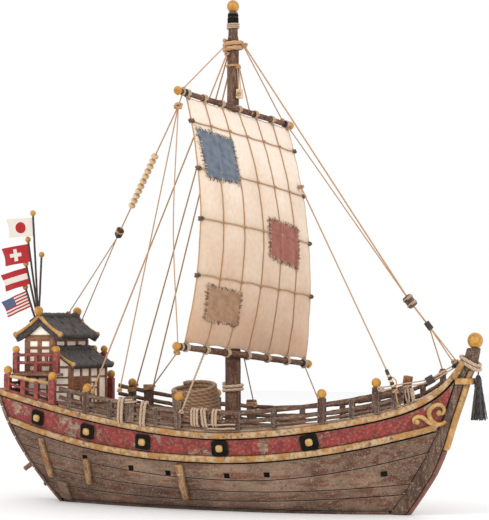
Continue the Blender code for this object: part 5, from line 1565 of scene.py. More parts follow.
# %% Upper roof
RIDGE = (-0.1815, 0.1708)
UPPER_EAVES = ((-0.2069, 0.1541), (-0.1589, 0.1541))
UPPER_SAG, LOWER_SAG = 0.0012, 0.0008
shingled, golden = [], []
for i, eave in enumerate(UPPER_EAVES):
    shingled += roof_slope(RIDGE, eave, UPPER_SAG, 0.0338, 0.0030, 6, i)
    x, z = eave
    roll = crooked_rail([(x, y, z - 0.0010) for y in (-0.0335, 0.0, 0.0335)], 0.0027, SHINGLE, i, 0.0009)
    shingled.append(roll)
    for side in (-1, 1):
        verge = stock(math.dist(RIDGE, eave) - 0.001, 0.0036, 0.0044, 0.0008, 6)
        route = [slope_point(RIDGE, eave, UPPER_SAG, i / 6) for i in range(7)]
        lay_along(verge, [(vx, side * 0.0322, vz - 0.0048) for vx, vz in route])
        shingled.append(whittled(verge, SHINGLE, 0.0003, 0.004, side))
        golden += gold_rake((RIDGE[0], RIDGE[1] + 0.0008), eave, UPPER_SAG, side * 0.0345, 0.0019, 0.0002)
points = [(RIDGE[0], y, RIDGE[1] + 0.0010) for y in (-0.0360, -0.012, 0.012, 0.0360)]
shingled.append(crooked_rail(points, 0.0031, SHINGLE, 7, 0.0009))
for side in (-1, 1):
    golden.append(paint(ball((RIDGE[0], side * 0.0355, RIDGE[1] + 0.0055), 0.0042), GOLD_BALL))
finish_piece(join(shingled, "upper roof"), "upper_roof_shingles", "hull", "roof_shingle", "upper_roof")
finish_piece(join(golden, "upper rakes"), "upper_roof_gold", "hull", "gold_paint")

# %% Lower roof
BACK = (-0.1664, 0.1417)
LOWER_EAVE = (-0.1440, 0.1265)
golden = []
shingled = roof_slope(BACK, LOWER_EAVE, LOWER_SAG, 0.0358, 0.0026, 6, 5)
x, z = LOWER_EAVE
for (x, z), half, radius, seed, lump in (
    ((x - 0.0004, z - 0.0008), 0.0355, 0.0026, 3, 0.0009),
    ((BACK[0] + 0.0018, BACK[1] + 0.0006), 0.0370, 0.0020, 9, 0.0004),
):
    shingled.append(crooked_rail([(x, y, z) for y in (-half, 0.0, half)], radius, SHINGLE, seed, lump))
for side in (-1, 1):
    golden += gold_rake(BACK, LOWER_EAVE, LOWER_SAG, side * 0.0366, 0.0017, 0.0002)
    golden.append(paint(ball((BACK[0] + 0.0030, side * 0.0365, BACK[1] - 0.0006), 0.0031), GOLD_BALL))
finish_piece(join(shingled, "lower roof"), "lower_roof_shingles", "hull", "roof_shingle", "lower_roof")
finish_piece(join(golden, "lower rakes"), "lower_roof_gold", "hull", "gold_paint")

# %% [markdown]
# ## Mast and yards
# The mast is a pole that was square before it was planed round, so its section keeps four faint flats. It
# starts as a many-sided bar with rings along it, and each ring is scaled to the mast's profile. The two
# yards taper to both ends, carry gold balls, and are turned fifteen degrees, because the ship's braces hold
# them so.
# %% Mast
# Height and radius
MAST_PROFILE = (
    (0.0735, 0.0074), (0.2000, 0.0068), (0.3600, 0.0056), (0.4200, 0.0054), (0.4225, 0.0044),
    (0.4460, 0.0044))
MAST_RADIUS, MAST_TOP, MAST_FLATS = 0.0074, 0.4460, 0.035
mast_heights, mast_radii = zip(*MAST_PROFILE)


def mast_radius(z):
    return float(np.interp(z, mast_heights, mast_radii))


mast = bar((0, 0, rail_z(0.0) + 0.0004), (0, 0, MAST_TOP), MAST_RADIUS, 24, 70)
for vertex in mast.data.vertices:
    angle = math.atan2(vertex.co.y, vertex.co.x)
    share = mast_radius(vertex.co.z) / MAST_RADIUS * (1.0 + MAST_FLATS * math.cos(4 * angle + 1.0))
    vertex.co.x *= share
    vertex.co.y *= share
whittled(mast, MAST_WOOD, 0.0002, 0.009, angle=50)
finish_piece(mast, "mast_pole", "hull", "worn_wood", "mast")
top_ball = paint(ball((0.0, 0.0, 0.4515), 0.0056, 28), GOLD_BALL)
finish_piece(top_ball, "mast_top_ball", "hull", "gold_paint", "mast_ball")
cap = []
for low, high, radius in ((0.4362, 0.4412, 0.0051), (0.4416, 0.4446, 0.0049)):
    band = round_edges(bar((0, 0, low), (0, 0, high), radius, 24, 0), 0.0006)
    cap.append(smooth(paint(band, BLACK_IRON), 50))
finish_piece(join(cap, "cap"), "mast_head_bands", "hull", "dark_wood")
ropes = [
    winding((0, 0, 0.4336), (0, 0, 1), 0.0052, 3.0, 0.0016, PALE_ROPE),
    winding((0, 0, 0.3975), (0, 0, 1), mast_radius(0.3975) + 0.0005, 2.0, 0.0011, TWINE),
    winding((0, 0, 0.1075), (0, 0, 1), mast_radius(0.1075) + 0.0012, 2.2, 0.0032, PALE_ROPE),
]
finish_piece(join(ropes, "mast ropes"), "mast_rope_wraps", "hull", "rope")
collar = winding((0.0, 0.0, 0.4160), (0, 0, 1), 0.0077, 2.1, 0.0044, TWINE)
finish_piece(collar, "mast_collar_rope", "hull", "rope", "mast_collar")

# %% Yards
BRACE_TURN = math.radians(15)
AHEAD = Vector((math.cos(BRACE_TURN), -math.sin(BRACE_TURN), 0.0))
ACROSS = Vector((math.sin(BRACE_TURN), math.cos(BRACE_TURN), 0.0))
# Height and distance ahead of the mast at the middle, tilt, ends along the yard, radius
UPPER = (0.3564, 0.0090, math.tan(math.radians(-6.0)), -0.0850, 0.0720, 0.0027)
LOWER = (0.1362, 0.0106, math.tan(math.radians(-5.4)), -0.0880, 0.0970, 0.0030)
YARD_TAPER = 0.22
# Ropes round each end: place from the ball, turns, diameter and finish
END_WRAPS = ((0.0062, 2.0, 0.0011, PALE_ROPE), (0.0088, 3.0, 0.0009, BLACK_LINE))


def on_yard(yard, along):
    z, ahead, rise = yard[:3]
    return AHEAD * ahead + ACROSS * along + raised(z + rise * along)


def make_yard(yard, node):
    """The spar and its balls. It returns the ropes round its ends, and its axis."""
    start, end, radius = on_yard(yard, yard[3]), on_yard(yard, yard[4]), yard[5]
    length = (end - start).length
    obj = bar((0, 0, 0), (length, 0, 0), radius, 14, 60)
    for vertex in obj.data.vertices:
        s = abs(2 * vertex.co.x / length - 1)
        vertex.co.y *= 1.0 - YARD_TAPER * s * s
        vertex.co.z *= 1.0 - YARD_TAPER * s * s
    whittled(lay_along(obj, [start, end]), YARD_WOOD, 0.0003, 0.007, yard[0] * 20, 50)
    axis = (end - start).normalized()
    balls = [ball(place, 0.0037) for place in (start, end)]
    ropes = []
    for place, inward in ((start, axis), (end, -axis)):
        for along, turns, diameter, material in END_WRAPS:
            at = place + inward * along
            ropes.append(winding(at, axis, radius * 0.84 + 0.0005, turns, diameter, material))
    finish_piece(obj, f"{node}_spar", "rig", "dark_wood", node)
    finish_balls(balls, f"{node}_balls", "rig")
    return ropes, axis


upper_ropes, upper_axis = make_yard(UPPER, "upper_yard")
lower_ropes, lower_axis = make_yard(LOWER, "lower_yard")

# %% [markdown]
# ## The sail
# The sail is one sheet, held at its head and foot, that fills towards the bow. Ropes are sewn over it in a
# grid, and the cloth bulges a little in each field between them and is puckered where it is laced. A cloth
# simulation would fill it too, but the measured shape is known, so the grid's points are placed by a rule
# for the belly, and smaller rules add the bulges, puckers and creases.
# %% Shape of the sail
HEAD, FOOT = (-0.0743, 0.0680), (-0.0778, 0.0926)
ROWS_OF_ROPE = (0.100, 0.295, 0.500, 0.728)
FIELDS = 6
HEAD_DROP, HEAD_SCALLOP = 0.0035, 0.0050
FOOT_RISE, FOOT_SCALLOP = 0.0038, 0.0080
# Depth of the belly at the starboard edge, how much less at the port edge, and how much more in the middle
BELLY, BELLY_TAPER, BELLY_MIDDLE, BELLY_POWER = 0.0180, 0.0040, 0.0075, 0.9
FIELD_BULGE, HELD_NEAR_ROPE = 0.0011, 0.035
PUCKERS, PUCKER, PUCKER_REACH = 34, 0.0004, 0.03
# Depth and size of the creases
CREASES = ((0.0007, 0.024), (0.0003, 0.009))


def sail_at(u, v, proud=0.0):
    """A point of the sail: u from starboard to port, v from the head to the foot."""
    bulge = abs(math.sin(math.pi * FIELDS * u))
    v = HEAD_SCALLOP * bulge * (1 - v) + (1.0 - FOOT_SCALLOP * bulge) * v
    head = on_yard(UPPER, HEAD[0] + (HEAD[1] - HEAD[0]) * u) - raised(HEAD_DROP)
    foot = on_yard(LOWER, FOOT[0] + (FOOT[1] - FOOT[0]) * u) + raised(FOOT_RISE)
    belly = BELLY - BELLY_TAPER * u + BELLY_MIDDLE * math.sin(math.pi * u)
    belly *= max(math.sin(math.pi * v), 0.0) ** BELLY_POWER
    held = min(min(abs(v - row) for row in ROWS_OF_ROPE) / HELD_NEAR_ROPE, 1.0)
    full = FIELD_BULGE * bulge * held * math.sin(math.pi * v) ** 0.4 if 0 < v < 1 else 0.0
    pucker = math.exp(-v / PUCKER_REACH) + math.exp((v - 1) / PUCKER_REACH)
    pucker *= PUCKER * math.sin(math.pi * PUCKERS * u)
    base = head.lerp(foot, v)
    crease = sum(depth * noise.noise(base / size) for depth, size in CREASES)
    return base + AHEAD * (belly + full + pucker + crease + proud)


# %% Sail cloth
def cloth_grid(across, down, place, thick):
    """A sheet whose points a rule of u and v places. It returns the sheet, its flat size and its area."""
    bpy.ops.mesh.primitive_grid_add(x_subdivisions=across, y_subdivisions=down, size=2.0)
    obj = bpy.context.object
    obj.data.uv_layers[0].name = "cloth"
    for vertex in obj.data.vertices:
        vertex.co = place((vertex.co.x + 1) / 2, (1 - vertex.co.y) / 2)
    obj.data.update()
    area = sum(face.area for face in obj.data.polygons)
    wall = obj.modifiers.new("thickness", "SOLIDIFY")
    wall.thickness = thick
    wall.offset = 0.0
    apply_modifiers(obj)
    width = length_of([place(i / across, 0.5) for i in range(across + 1)])
    height = length_of([place(0.5, i / down) for i in range(down + 1)])
    return smooth(obj, 60), (width, height), area


sail, (sail_width, sail_length), sail_area = cloth_grid(100, 130, sail_at, 0.0007)
finish_piece(paint(sail, SAILCLOTH), "sail_cloth", "rig", "sailcloth", "sail")
print(f"sail {sail_width:.4f} by {sail_length:.4f} m, {sail_area:.5f} square metres")

# %% Ropes sewn on the sail
LINE, EDGE_LINE = 0.0012, 0.0015
DOWN_STEPS, ACROSS_STEPS = 40, 48


def line_down(u, proud, diameter, material=TWINE):
    points = [sail_at(u, v / DOWN_STEPS, proud) for v in range(DOWN_STEPS + 1)]
    return rope("line", points, diameter, material)


def line_across(v, proud, diameter, material=TWINE):
    points = [sail_at(u / ACROSS_STEPS, v, proud) for u in range(ACROSS_STEPS + 1)]
    return rope("line", points, diameter, material)


lines = [line_down(i / FIELDS, 0.0008, LINE) for i in range(1, FIELDS)]
lines += [line_across(row, 0.0011, LINE) for row in ROWS_OF_ROPE]
lines += [line_down(u, 0.0, EDGE_LINE) for u in (0.0, 1.0)]
lines += [line_across(v, 0.0, EDGE_LINE, PALE_ROPE) for v in (0.0, 1.0)]
for i in range(1, FIELDS):
    for row in ROWS_OF_ROPE:
        lines.append(knot(sail_at(i / FIELDS, row, 0.0014), 0.0010, TWINE, i + row))
for u in (0.0, 1.0):
    for row in ROWS_OF_ROPE:
        lines.append(knot(sail_at(u, row, 0.0004), 0.0019, DARK_TWINE, row * 9))
finish_piece(join(lines, "sail ropes"), "sail_ropes", "rig", "rope")

# %% Lashings between sail and yards
for i in range(FIELDS + 1):
    u = min(max(i / FIELDS, 0.012), 0.988)
    for yard, axis, span, v, ropes in (
            (UPPER, upper_axis, HEAD, 0.0, upper_ropes), (LOWER, lower_axis, FOOT, 1.0, lower_ropes)):
        centre = on_yard(yard, span[0] + (span[1] - span[0]) * u)
        ropes.append(winding(centre, axis, yard[5] + 0.0005, 2.6, 0.0014, PALE_ROPE))
        ropes.append(knot(sail_at(u, v, 0.0008) + raised(0.0008 if v else -0.0008), 0.0013, PALE_ROPE, i))
behind_mast = np.linspace(-math.pi / 2, -3 * math.pi / 2, 13)
for ropes, node, yard, mast_r in (
        (upper_ropes, "upper_parrel", UPPER, 0.0057), (lower_ropes, "lower_parrel", LOWER, 0.0072)):
    reach = mast_r + 0.0019
    base = raised(yard[0])
    points = [base + AHEAD * (yard[1] + 0.0010) - ACROSS * reach * 0.8]
    points += [base + AHEAD * reach * math.cos(a) + ACROSS * reach * math.sin(a) for a in behind_mast]
    points.append(base + AHEAD * (yard[1] + 0.0010) + ACROSS * reach * 0.8)
    ropes.append(rope("parrel", points, 0.0024, TWINE, 9))
    finish_piece(join(ropes, "lashings"), f"{node}_and_lashings", "rig", "rope", node)

# %% [markdown]
# ### Patches
# Three patches of coarse cloth are sewn over the ropes with big stitches. Each patch is a small sheet laid
# on the sail, lifted where a rope runs under it, with an uneven cut edge. A stitch is a short thread that
# rises out of the cloth, crosses the patch's edge and goes in again.
# %% Patches and their stitches
PATCH_PROUD, PATCH_LIFT = 0.0009, 0.0012
# Name, cloth, and the corners from the top left one on, as u and v of the sail
PATCHES = (
    ("blue_patch", BLUE_CLOTH, ((0.020, 0.125), (0.330, 0.135), (0.322, 0.322), (0.060, 0.325))),
    ("rust_patch", RUST_CLOTH, ((0.552, 0.440), (0.870, 0.450), (0.845, 0.626), (0.552, 0.603))),
    ("tan_patch", TAN_CLOTH, ((0.078, 0.762), (0.345, 0.776), (0.355, 0.908), (0.097, 0.904))),
)


def over_ropes(u, v):
    """How proud a patch lies: it is lifted where a rope runs under it."""
    near = math.exp(-((u * FIELDS - round(u * FIELDS)) / 0.055) ** 2)
    near = max(near, max(math.exp(-((v - row) / 0.006) ** 2) for row in ROWS_OF_ROPE))
    return PATCH_PROUD + PATCH_LIFT * near


def patch_point(corners, s, t):
    """A point of a patch, as u and v of the sail, with an uneven edge."""
    a, b, c, d = (Vector((u, v, 0.0)) for u, v in corners)
    inside = a.lerp(b, s).lerp(d.lerp(c, s), t)
    fray = 0.004 * noise.noise(Vector((s * 9, t * 9, corners[0][0] * 30)))
    return inside.x + fray, inside.y + fray * 0.6


rng = random.Random(21)
for name, material, corners in PATCHES:
    def lay_patch(s, t):
        u, v = patch_point(corners, s, t)
        return sail_at(u, v, over_ropes(u, v))
    patch, (width, height), patch_area = cloth_grid(36, 36, lay_patch, 0.0006)
    finish_piece(paint(patch, material), name, "rig", "sailcloth")
    stitches = []
    for start, step in (((0, 0), (1, 0)), ((1, 0), (0, 1)), ((1, 1), (-1, 0)), ((0, 1), (0, -1))):
        count = 14 if step[0] else 13
        for i in range(count):
            t = (i + rng.uniform(0.25, 0.75)) / count
            s, r = start[0] + step[0] * t, start[1] + step[1] * t
            inward = Vector((-step[1], step[0], 0.0)) * rng.uniform(0.035, 0.07)
            lean = Vector((step[0], step[1], 0.0)) * rng.uniform(-0.03, 0.03)
            points = []
            for k, lift in ((1.0, -0.0002), (0.5, 0.0006), (-0.4, 0.0007), (-1.1, -0.0006)):
                u, v = patch_point(corners, s + inward.x * k + lean.x * k, r + inward.y * k + lean.y * k)
                points.append(sail_at(u, v, over_ropes(u, v) + lift))
            diameter = rng.uniform(0.0006, 0.0009)
            thread = STITCH if rng.random() < 0.6 else DARK_TWINE
            stitches.append(rope("stitch", points, diameter, thread, 5, 4.5, 5))
    finish_piece(join(stitches, "stitches"), f"{name}_stitches", "rig", "sailcloth")

# %% [markdown]
# ## Flags
# Five thin staffs with gold balls stand in a block behind the ridge, and four of them fly a small flag. A
# flag is a sheet that waves as it leaves its staff. Its pattern is a node setup on its own map, with
# lengths in millimetres, so that the disc stays round and the stripes stay even.
# %% Staffs
# X and y of each foot, then the head
STAFFS = (
    ((-0.1860, -0.0290), (-0.1916, -0.0300, 0.2674)), ((-0.1868, -0.0268), (-0.1988, -0.0268, 0.2430)),
    ((-0.1885, -0.0250), (-0.2029, -0.0236, 0.2208)), ((-0.1915, -0.0235), (-0.2053, -0.0204, 0.1990)),
    ((-0.1845, -0.0305), (-0.1801, -0.0332, 0.2284)))
BLOCK_AT = (-0.1885, -0.0270)
drop = (RIDGE[1] - UPPER_EAVES[0][1]) / (RIDGE[0] - UPPER_EAVES[0][0])
block_z = RIDGE[1] - drop * (RIDGE[0] - BLOCK_AT[0]) + 0.0022
pitch = math.atan(drop)
parts = [block((*BLOCK_AT, block_z), (0.0110, 0.0110, 0.0044), Matrix.Rotation(-pitch, 4, "Y"), 0.0008)]
balls, staff_lines = [], []
for (foot_x, foot_y), head in STAFFS:
    foot = Vector((foot_x, foot_y, block_z + (foot_x - BLOCK_AT[0]) * drop))
    head = Vector(head)
    parts.append(whittled(bar(foot, head, 0.0010, 8, 12), DARK_WOOD, 0.00015, 0.008, foot_x * 40, 50))
    balls.append(ball(head, 0.0027, 16))
    staff_lines.append((foot, head))
finish_piece(paint(join(parts, "staffs"), DARK_WOOD), "staffs", "hull", "dark_wood", "flag_staffs")
finish_balls(balls, "staff_balls")

# %% Patterns of the flags
FLAG_RED, FLAG_WHITE, FLAG_BLUE = "A60F17", "DAD1C6", "26355C"


def from_middle(tree, value, middle, scale):
    return math_node(tree, "MULTIPLY", math_node(tree, "SUBTRACT", value, middle), scale)


def disc_flag(tree, _, parts):
    x, y = from_middle(tree, parts[0], 0.50, 26.2), from_middle(tree, parts[1], 0.5, 17.5)
    squares = [math_node(tree, "MULTIPLY", value, value) for value in (x, y)]
    far = math_node(tree, "SQRT", math_node(tree, "ADD", *squares))
    return mixed(tree, math_node(tree, "LESS_THAN", far, 5.3), tint(FLAG_WHITE), tint(FLAG_RED))


def cross_flag(tree, _, parts):
    x = math_node(tree, "ABSOLUTE", from_middle(tree, parts[0], 0.52, 25.5))
    y = math_node(tree, "ABSOLUTE", from_middle(tree, parts[1], 0.5, 16.5))
    arms = []
    for along, across in ((x, y), (y, x)):
        far = math_node(tree, "MAXIMUM", along, math_node(tree, "MULTIPLY", across, 3.4))
        arms.append(math_node(tree, "LESS_THAN", far, 5.6))
    return mixed(tree, math_node(tree, "MAXIMUM", *arms), tint(FLAG_RED), tint(FLAG_WHITE))


def band_flag(tree, _, parts):
    far = math_node(tree, "ABSOLUTE", math_node(tree, "SUBTRACT", parts[1], 0.5))
    return mixed(tree, math_node(tree, "LESS_THAN", far, 0.167), tint(FLAG_RED), tint(FLAG_WHITE))


def striped_flag(tree, _, parts):
    count = math_node(tree, "FLOOR", math_node(tree, "MULTIPLY", parts[1], 11.0))
    red = math_node(tree, "LESS_THAN", math_node(tree, "MODULO", count, 2.0), 0.5)
    stripes = mixed(tree, red, tint(FLAG_WHITE), tint(FLAG_RED))
    dots = [math_node(tree, "SINE", math_node(tree, "MULTIPLY", parts[axis], turns))
            for axis, turns in ((0, 88.0), (1, 80.0))]
    dot = math_node(tree, "GREATER_THAN", math_node(tree, "MULTIPLY", *dots), 0.55)
    canton = mixed(tree, dot, tint(FLAG_BLUE), tint("98A0B8"))
    at_fly = math_node(tree, "GREATER_THAN", parts[0], 0.52)
    at_top = math_node(tree, "GREATER_THAN", parts[1], 0.4545)
    return mixed(tree, math_node(tree, "MULTIPLY", at_fly, at_top), stripes, canton)


# Staff, length, height, distance below the ball, pattern and name
FLAGS = (
    (0, 0.0262, 0.0175, 0.0040, disc_flag, "disc"),
    (1, 0.0275, 0.0170, 0.0038, cross_flag, "cross"),
    (2, 0.0272, 0.0164, 0.0034, band_flag, "bands"),
    (3, 0.0266, 0.0164, 0.0036, striped_flag, "stripes"),
)

# %% Flags
for number, (staff, length, height, below_ball, pattern, label) in enumerate(FLAGS, 1):
    foot, head = staff_lines[staff]
    down = (foot - head).normalized()
    outward = Vector((-1.0, 0.0, 0.0))
    outward = (outward - down * outward.dot(down)).normalized()
    start = head + down * below_ball + outward * 0.0009

    def flag_point(u, v):
        wave = 0.0011 * math.sin(6.0 * u + staff) * u + 0.0003 * math.sin(11 * u + 5 * v)
        curl = -0.0016 * u * u * (1 - v) + 0.0010 * math.sin(math.pi * v) * u * u
        out_along = start + outward * (length * u - curl)
        return out_along + down * (height * v - 0.0006 * u) + Vector((0.0, wave, 0.0))

    flag, (width, drop_length), _ = cloth_grid(32, 24, flag_point, 0.0004)
    cloth = cloth_finish(f"{label} flag", pattern, 0.12, 50.0)
    finish_piece(paint(flag, cloth), f"{label}_flag", "hull", "flag_cloth", f"flag_{number}")
    print(f"{label} flag {width:.4f} by {drop_length:.4f} m")

# %% [markdown]
# ## Standing and running rigging
# The lines are laid twine. They are all pulled tight, so none of them is a free cord, and each is a
# straight or slightly bent rope between two fittings. Lines that join the yards to the hull are left
# outside both bodies.
# %% Stays and shrouds
STAY = 0.0016
block_at, knot_at = Vector((0.1680, 0.0, 0.1830)), Vector((0.1850, 0.0, 0.1620))
stay_top = Vector((0.0108, 0.0, 0.4155))


def wooden_eye(centre, axis, size, material):
    """A small hewn block on a line."""
    turn = Vector(axis).to_track_quat("X", "Z").to_matrix().to_4x4()
    obj = block(centre, size, turn, min(size) * 0.22, 2)
    return whittled(obj, material, 0.0003, 0.004, size[0] * 90)


def bead(place, turn, radius, segments, flat, material):
    """A turned bead, flattened along the line that it hangs on."""
    obj = ball((0.0, 0.0, 0.0), radius, segments)
    for vertex in obj.data.vertices:
        vertex.co = turn @ Vector((vertex.co.x, vertex.co.y, vertex.co.z * flat)) + place
    return paint(obj, material)


direction = (knot_at - block_at).normalized()
parts = [
    rope("stay", [stay_top, block_at], STAY, TWINE),
    rope("stay", [block_at, knot_at], STAY * 1.1, TWINE),
]
parts.append(wooden_eye(block_at, direction, (0.0110, 0.0050, 0.0080), POST_WOOD))
for step in (-0.0030, 0.0030):
    parts.append(winding(block_at + direction * step, direction, 0.0030, 1.5, 0.0012, PALE_ROPE, 0.0046))
sleeve = bar(knot_at - direction * 0.0036, knot_at + direction * 0.0036, 0.0026)
parts.append(whittled(sleeve, DARK_WOOD, 0.0002, 0.004, angle=50))
parts.append(knot(stay_top + Vector((0.001, 0.0, 0.0)), 0.0018, TWINE, 2))
port_leg = edge(0.1935, 1, 0.0172)
for end in ((0.2080, 0.0, 0.1291), (0.2088, 0.0, 0.1328), port_leg):
    parts.append(rope("leg", [knot_at, end], 0.0013, TWINE))
parts.append(knot((0.2084, 0.0, 0.1310), 0.0022, TWINE, 1))
half = POST_WIDTHS["baluster"] / 2 + 0.0009
parts.append(winding(edge(0.1935, 1, 0.0160), (0, 0, 1), half, 2.4, 0.0013, TWINE))
finish_piece(join(parts, "forestay"), "forestay_rope", "hull", "rope", "forestay")
# Node, the post's x, kind and height, side, and the bearing of the shroud's top round the mast
SHROUDS = (
    ("shroud_starboard", -0.1165, "ball", 0.0185, -1, 60),
    ("shroud_port_aft", -0.1330, "ball", 0.0175, 1, 20),
    ("shroud_port_fore", -0.1161, "thick", 0.0225, 1, 65),
)
for node, x, kind, height, side, bearing in SHROUDS:
    width = POST_WIDTHS[kind]
    angle = math.radians(bearing)
    top = Vector((-0.0066 * math.cos(angle), side * 0.0066 * math.sin(angle), 0.4078))
    beside_post = Vector((max(width / 2, 0.0040) + 0.0009, -side * 0.0008, 0.0))
    foot = edge(x, side, max(height - 0.0010, 0.0192)) + beside_post
    parts = [rope("shroud", [top, foot], STAY, TWINE)]
    parts += [knot(top, 0.0016, TWINE, x * 40), knot(foot, 0.0014, TWINE, x * 50)]
    if side > 0:
        at = edge(x, side, height - 0.0022)
        parts.append(winding(at, (0, 0, 1), width / 2 + 0.0010, 3.2, 0.0014, TWINE, POST_DEPTH / 2 + 0.0010))
    finish_piece(join(parts, node), f"{node}_rope", "hull", "rope", node)

# %% Lifts, braces and lines that join both bodies
def upper(along, up=0.0):
    return on_yard(UPPER, along) + raised(up)


def lower(along, up=0.0):
    return on_yard(LOWER, along) + raised(up)


BRACE_KNOT = Vector((-0.0135, -0.0830, 0.3520))
collar_at = Vector((0.0, 0.0, 0.4150))


def joined_line(name, points, *knots, diameter=0.0013, material=TWINE):
    """A taut line from a fitting of the hull to one of the rig. Each knot is a place and a size."""
    parts = [rope(name, points, diameter, material)]
    parts += [knot(place, size, material, number) for number, (place, size) in enumerate(knots)]
    obj = join(parts, name)
    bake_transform(obj)


for label, start, along in (
    ("starboard", Vector((-0.004, -0.0075, 0)), -0.078),
    ("port", Vector((0.0095, 0.002, 0)), 0.060),
):
    end = upper(along, 0.003)
    joined_line(f"lift_{label}", [collar_at + start, end], (end, 0.0013))
joined_line("bowline_upper", [block_at, upper(0.066, 0.0005)], (upper(0.066, -0.003), 0.0015))

# %% Braces and sheets
def upright_edge(x, side, up, out=0.0):
    return edge(x, side, up, -out)


yard_tip = upper(-0.078)
parts = [rope("tie", [yard_tip, BRACE_KNOT], 0.0014, TWINE), knot(BRACE_KNOT, 0.0026, TWINE, 4)]
sheet_foot = (-0.0120, -0.0860, 0.1443)
parts.append(rope("sheet", [BRACE_KNOT, (-0.0173, -0.0845, 0.2480), sheet_foot], 0.0012, TWINE))
parts.append(knot(sheet_foot, 0.0018, TWINE, 6))
finish_piece(join(parts, "brace"), "brace_pendant", "rig", "rope")
brace_foot = Vector((-0.0842, -0.0575, 0.1052))
joined_line("brace_starboard", [brace_foot, BRACE_KNOT], (brace_foot, 0.0016))

# %% [markdown]
# ### The line of beads
# One brace carries eleven flat wooden beads and a dark block on its way to the castle. The beads are turned
# discs that sit on the line like pearls, and beyond the block the line splits into two legs, to the ridge
# and to the rake.
# %% Line of beads
block_place = Vector((-0.1085, -0.0147, 0.2480))
fork = BRACE_KNOT + (block_place - BRACE_KNOT) * 1.05
legs = (Vector((RIDGE[0], 0.0190, RIDGE[1] + 0.0040)), Vector((-0.1760, 0.0340, 0.1672)))
heading = (block_place - BRACE_KNOT).normalized()
parts = [rope("line", [BRACE_KNOT, fork], 0.0014, TWINE)]
parts += [rope("leg", [fork, leg], 0.0012, TWINE) for leg in legs]
parts += [knot(leg, 0.0016, TWINE, 3 * leg.x) for leg in legs]
reach = (Vector((-0.1790, 0.0350, 0.1700)) - BRACE_KNOT).length
for i in range(11):
    place = BRACE_KNOT + heading * (0.22 * reach + 0.0050 * i * reach / 0.2230)
    parts.append(bead(place, facing(heading), 0.0034, 16, 0.66, BEAD_WOOD))
parts.append(wooden_eye(block_place, heading, (0.0094, 0.0056, 0.0066), DARK_WOOD))
parts.append(winding(block_place - heading * 0.0022, heading, 0.0034, 2.4, 0.0010, TWINE, 0.0038))
obj = join(parts, "bead_line")
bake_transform(obj)

# %% Bowline and its chain of beads
chain_top, chain_foot = Vector((0.1578, -0.0300, 0.1232)), Vector((0.1649, -0.0300, 0.1070))
sail_edge = Vector((0.0413, 0.0600, 0.2906))
joined_line(
    "bowline_sail", [chain_top, (0.1471, -0.0300, 0.1452), sail_edge], (sail_edge, 0.0018), diameter=0.0014)
down = (chain_foot - chain_top).normalized()
parts = [rope("core", [chain_top, chain_foot], 0.0012, TWINE)]
sleeve = bar(chain_top - down * 0.0016, chain_top + down * 0.0030, 0.0016)
parts.append(smooth(paint(sleeve, DARK_WOOD), 50))
for i in range(6):
    place = chain_top + down * (0.0042 + 0.0023 * i)
    parts.append(bead(place, facing(down), 0.0021, 14, 0.6, DARK_WOOD if i % 2 else BEAD_WOOD))
foot_on_rail = edge(0.1660, -1, 0.0010)
parts.append(rope("tail", [chain_foot, foot_on_rail], 0.0014, TWINE))
loop = [chain_top + down * 0.003, chain_top + down * 0.009 + Vector((0.0045, 0, 0.0006)), chain_foot]
parts.append(rope("loop", loop, 0.0013, TWINE))
parts += [knot(chain_foot, 0.0018, TWINE, 5), knot(foot_on_rail, 0.0019, TWINE, 2)]
finish_piece(join(parts, "chain"), "bead_chain", "hull", "rope")

# %% Lines of the lower yard and the halyard
eye_ring = Vector((-0.0144, -0.0830, 0.1389))
bitt = upright_edge(-0.1161, 1, 0.0200, -0.0030) + Vector((0.0044, 0.0, 0.0))
joined_line("brace_lower", [bitt, eye_ring], (bitt, 0.0016), (eye_ring, 0.0020))
sheet_post = upright_edge(-0.0190, -1, 0.0160, 0.0012)
joined_line(
    "sheet_starboard", [sheet_post, lower(-0.050)], (sheet_post, 0.0017), diameter=0.0020, material=PALE_ROPE)
middle_post = upright_edge(-0.0070, 1, 0.0180, -0.0020)
joined_line("sheet_port_aft", [middle_post, lower(0.002)], (middle_post, 0.0020))
fore_post = upright_edge(0.0620, 1, 0.0160)
joined_line("sheet_port_fore", [fore_post, lower(0.090)], (fore_post, 0.0018), (lower(0.090, -0.003), 0.0016))
halyard_top, halyard_foot = Vector((0.0060, -0.0010, 0.3980)), Vector((0.0121, 0.0106, 0.3550))
joined_line("halyard", [halyard_top, halyard_foot], (halyard_foot, 0.0018), diameter=0.0014)
hanging = Vector((0.0084, -0.0040, 0.3710))
parts = [wooden_eye(hanging, (0, 0, 1), (0.0086, 0.0046, 0.0060), BEAD_WOOD)]
for shift in (-0.0009, 0.0009):
    fall = [hanging + Vector((shift, 0.0, 0.003)), (0.0066 + shift, -0.0030, 0.3955)]
    parts.append(rope("fall", fall, 0.0011, TWINE))
parts += [
    knot((0.0066, -0.0030, 0.3955), 0.0017, TWINE, 1),
    knot(hanging + Vector((0.0, -0.0022, 0.0)), 0.0017, PALE_ROPE, 2)]
finish_piece(join(parts, "halyard block"), "halyard_block", "hull", "rope")

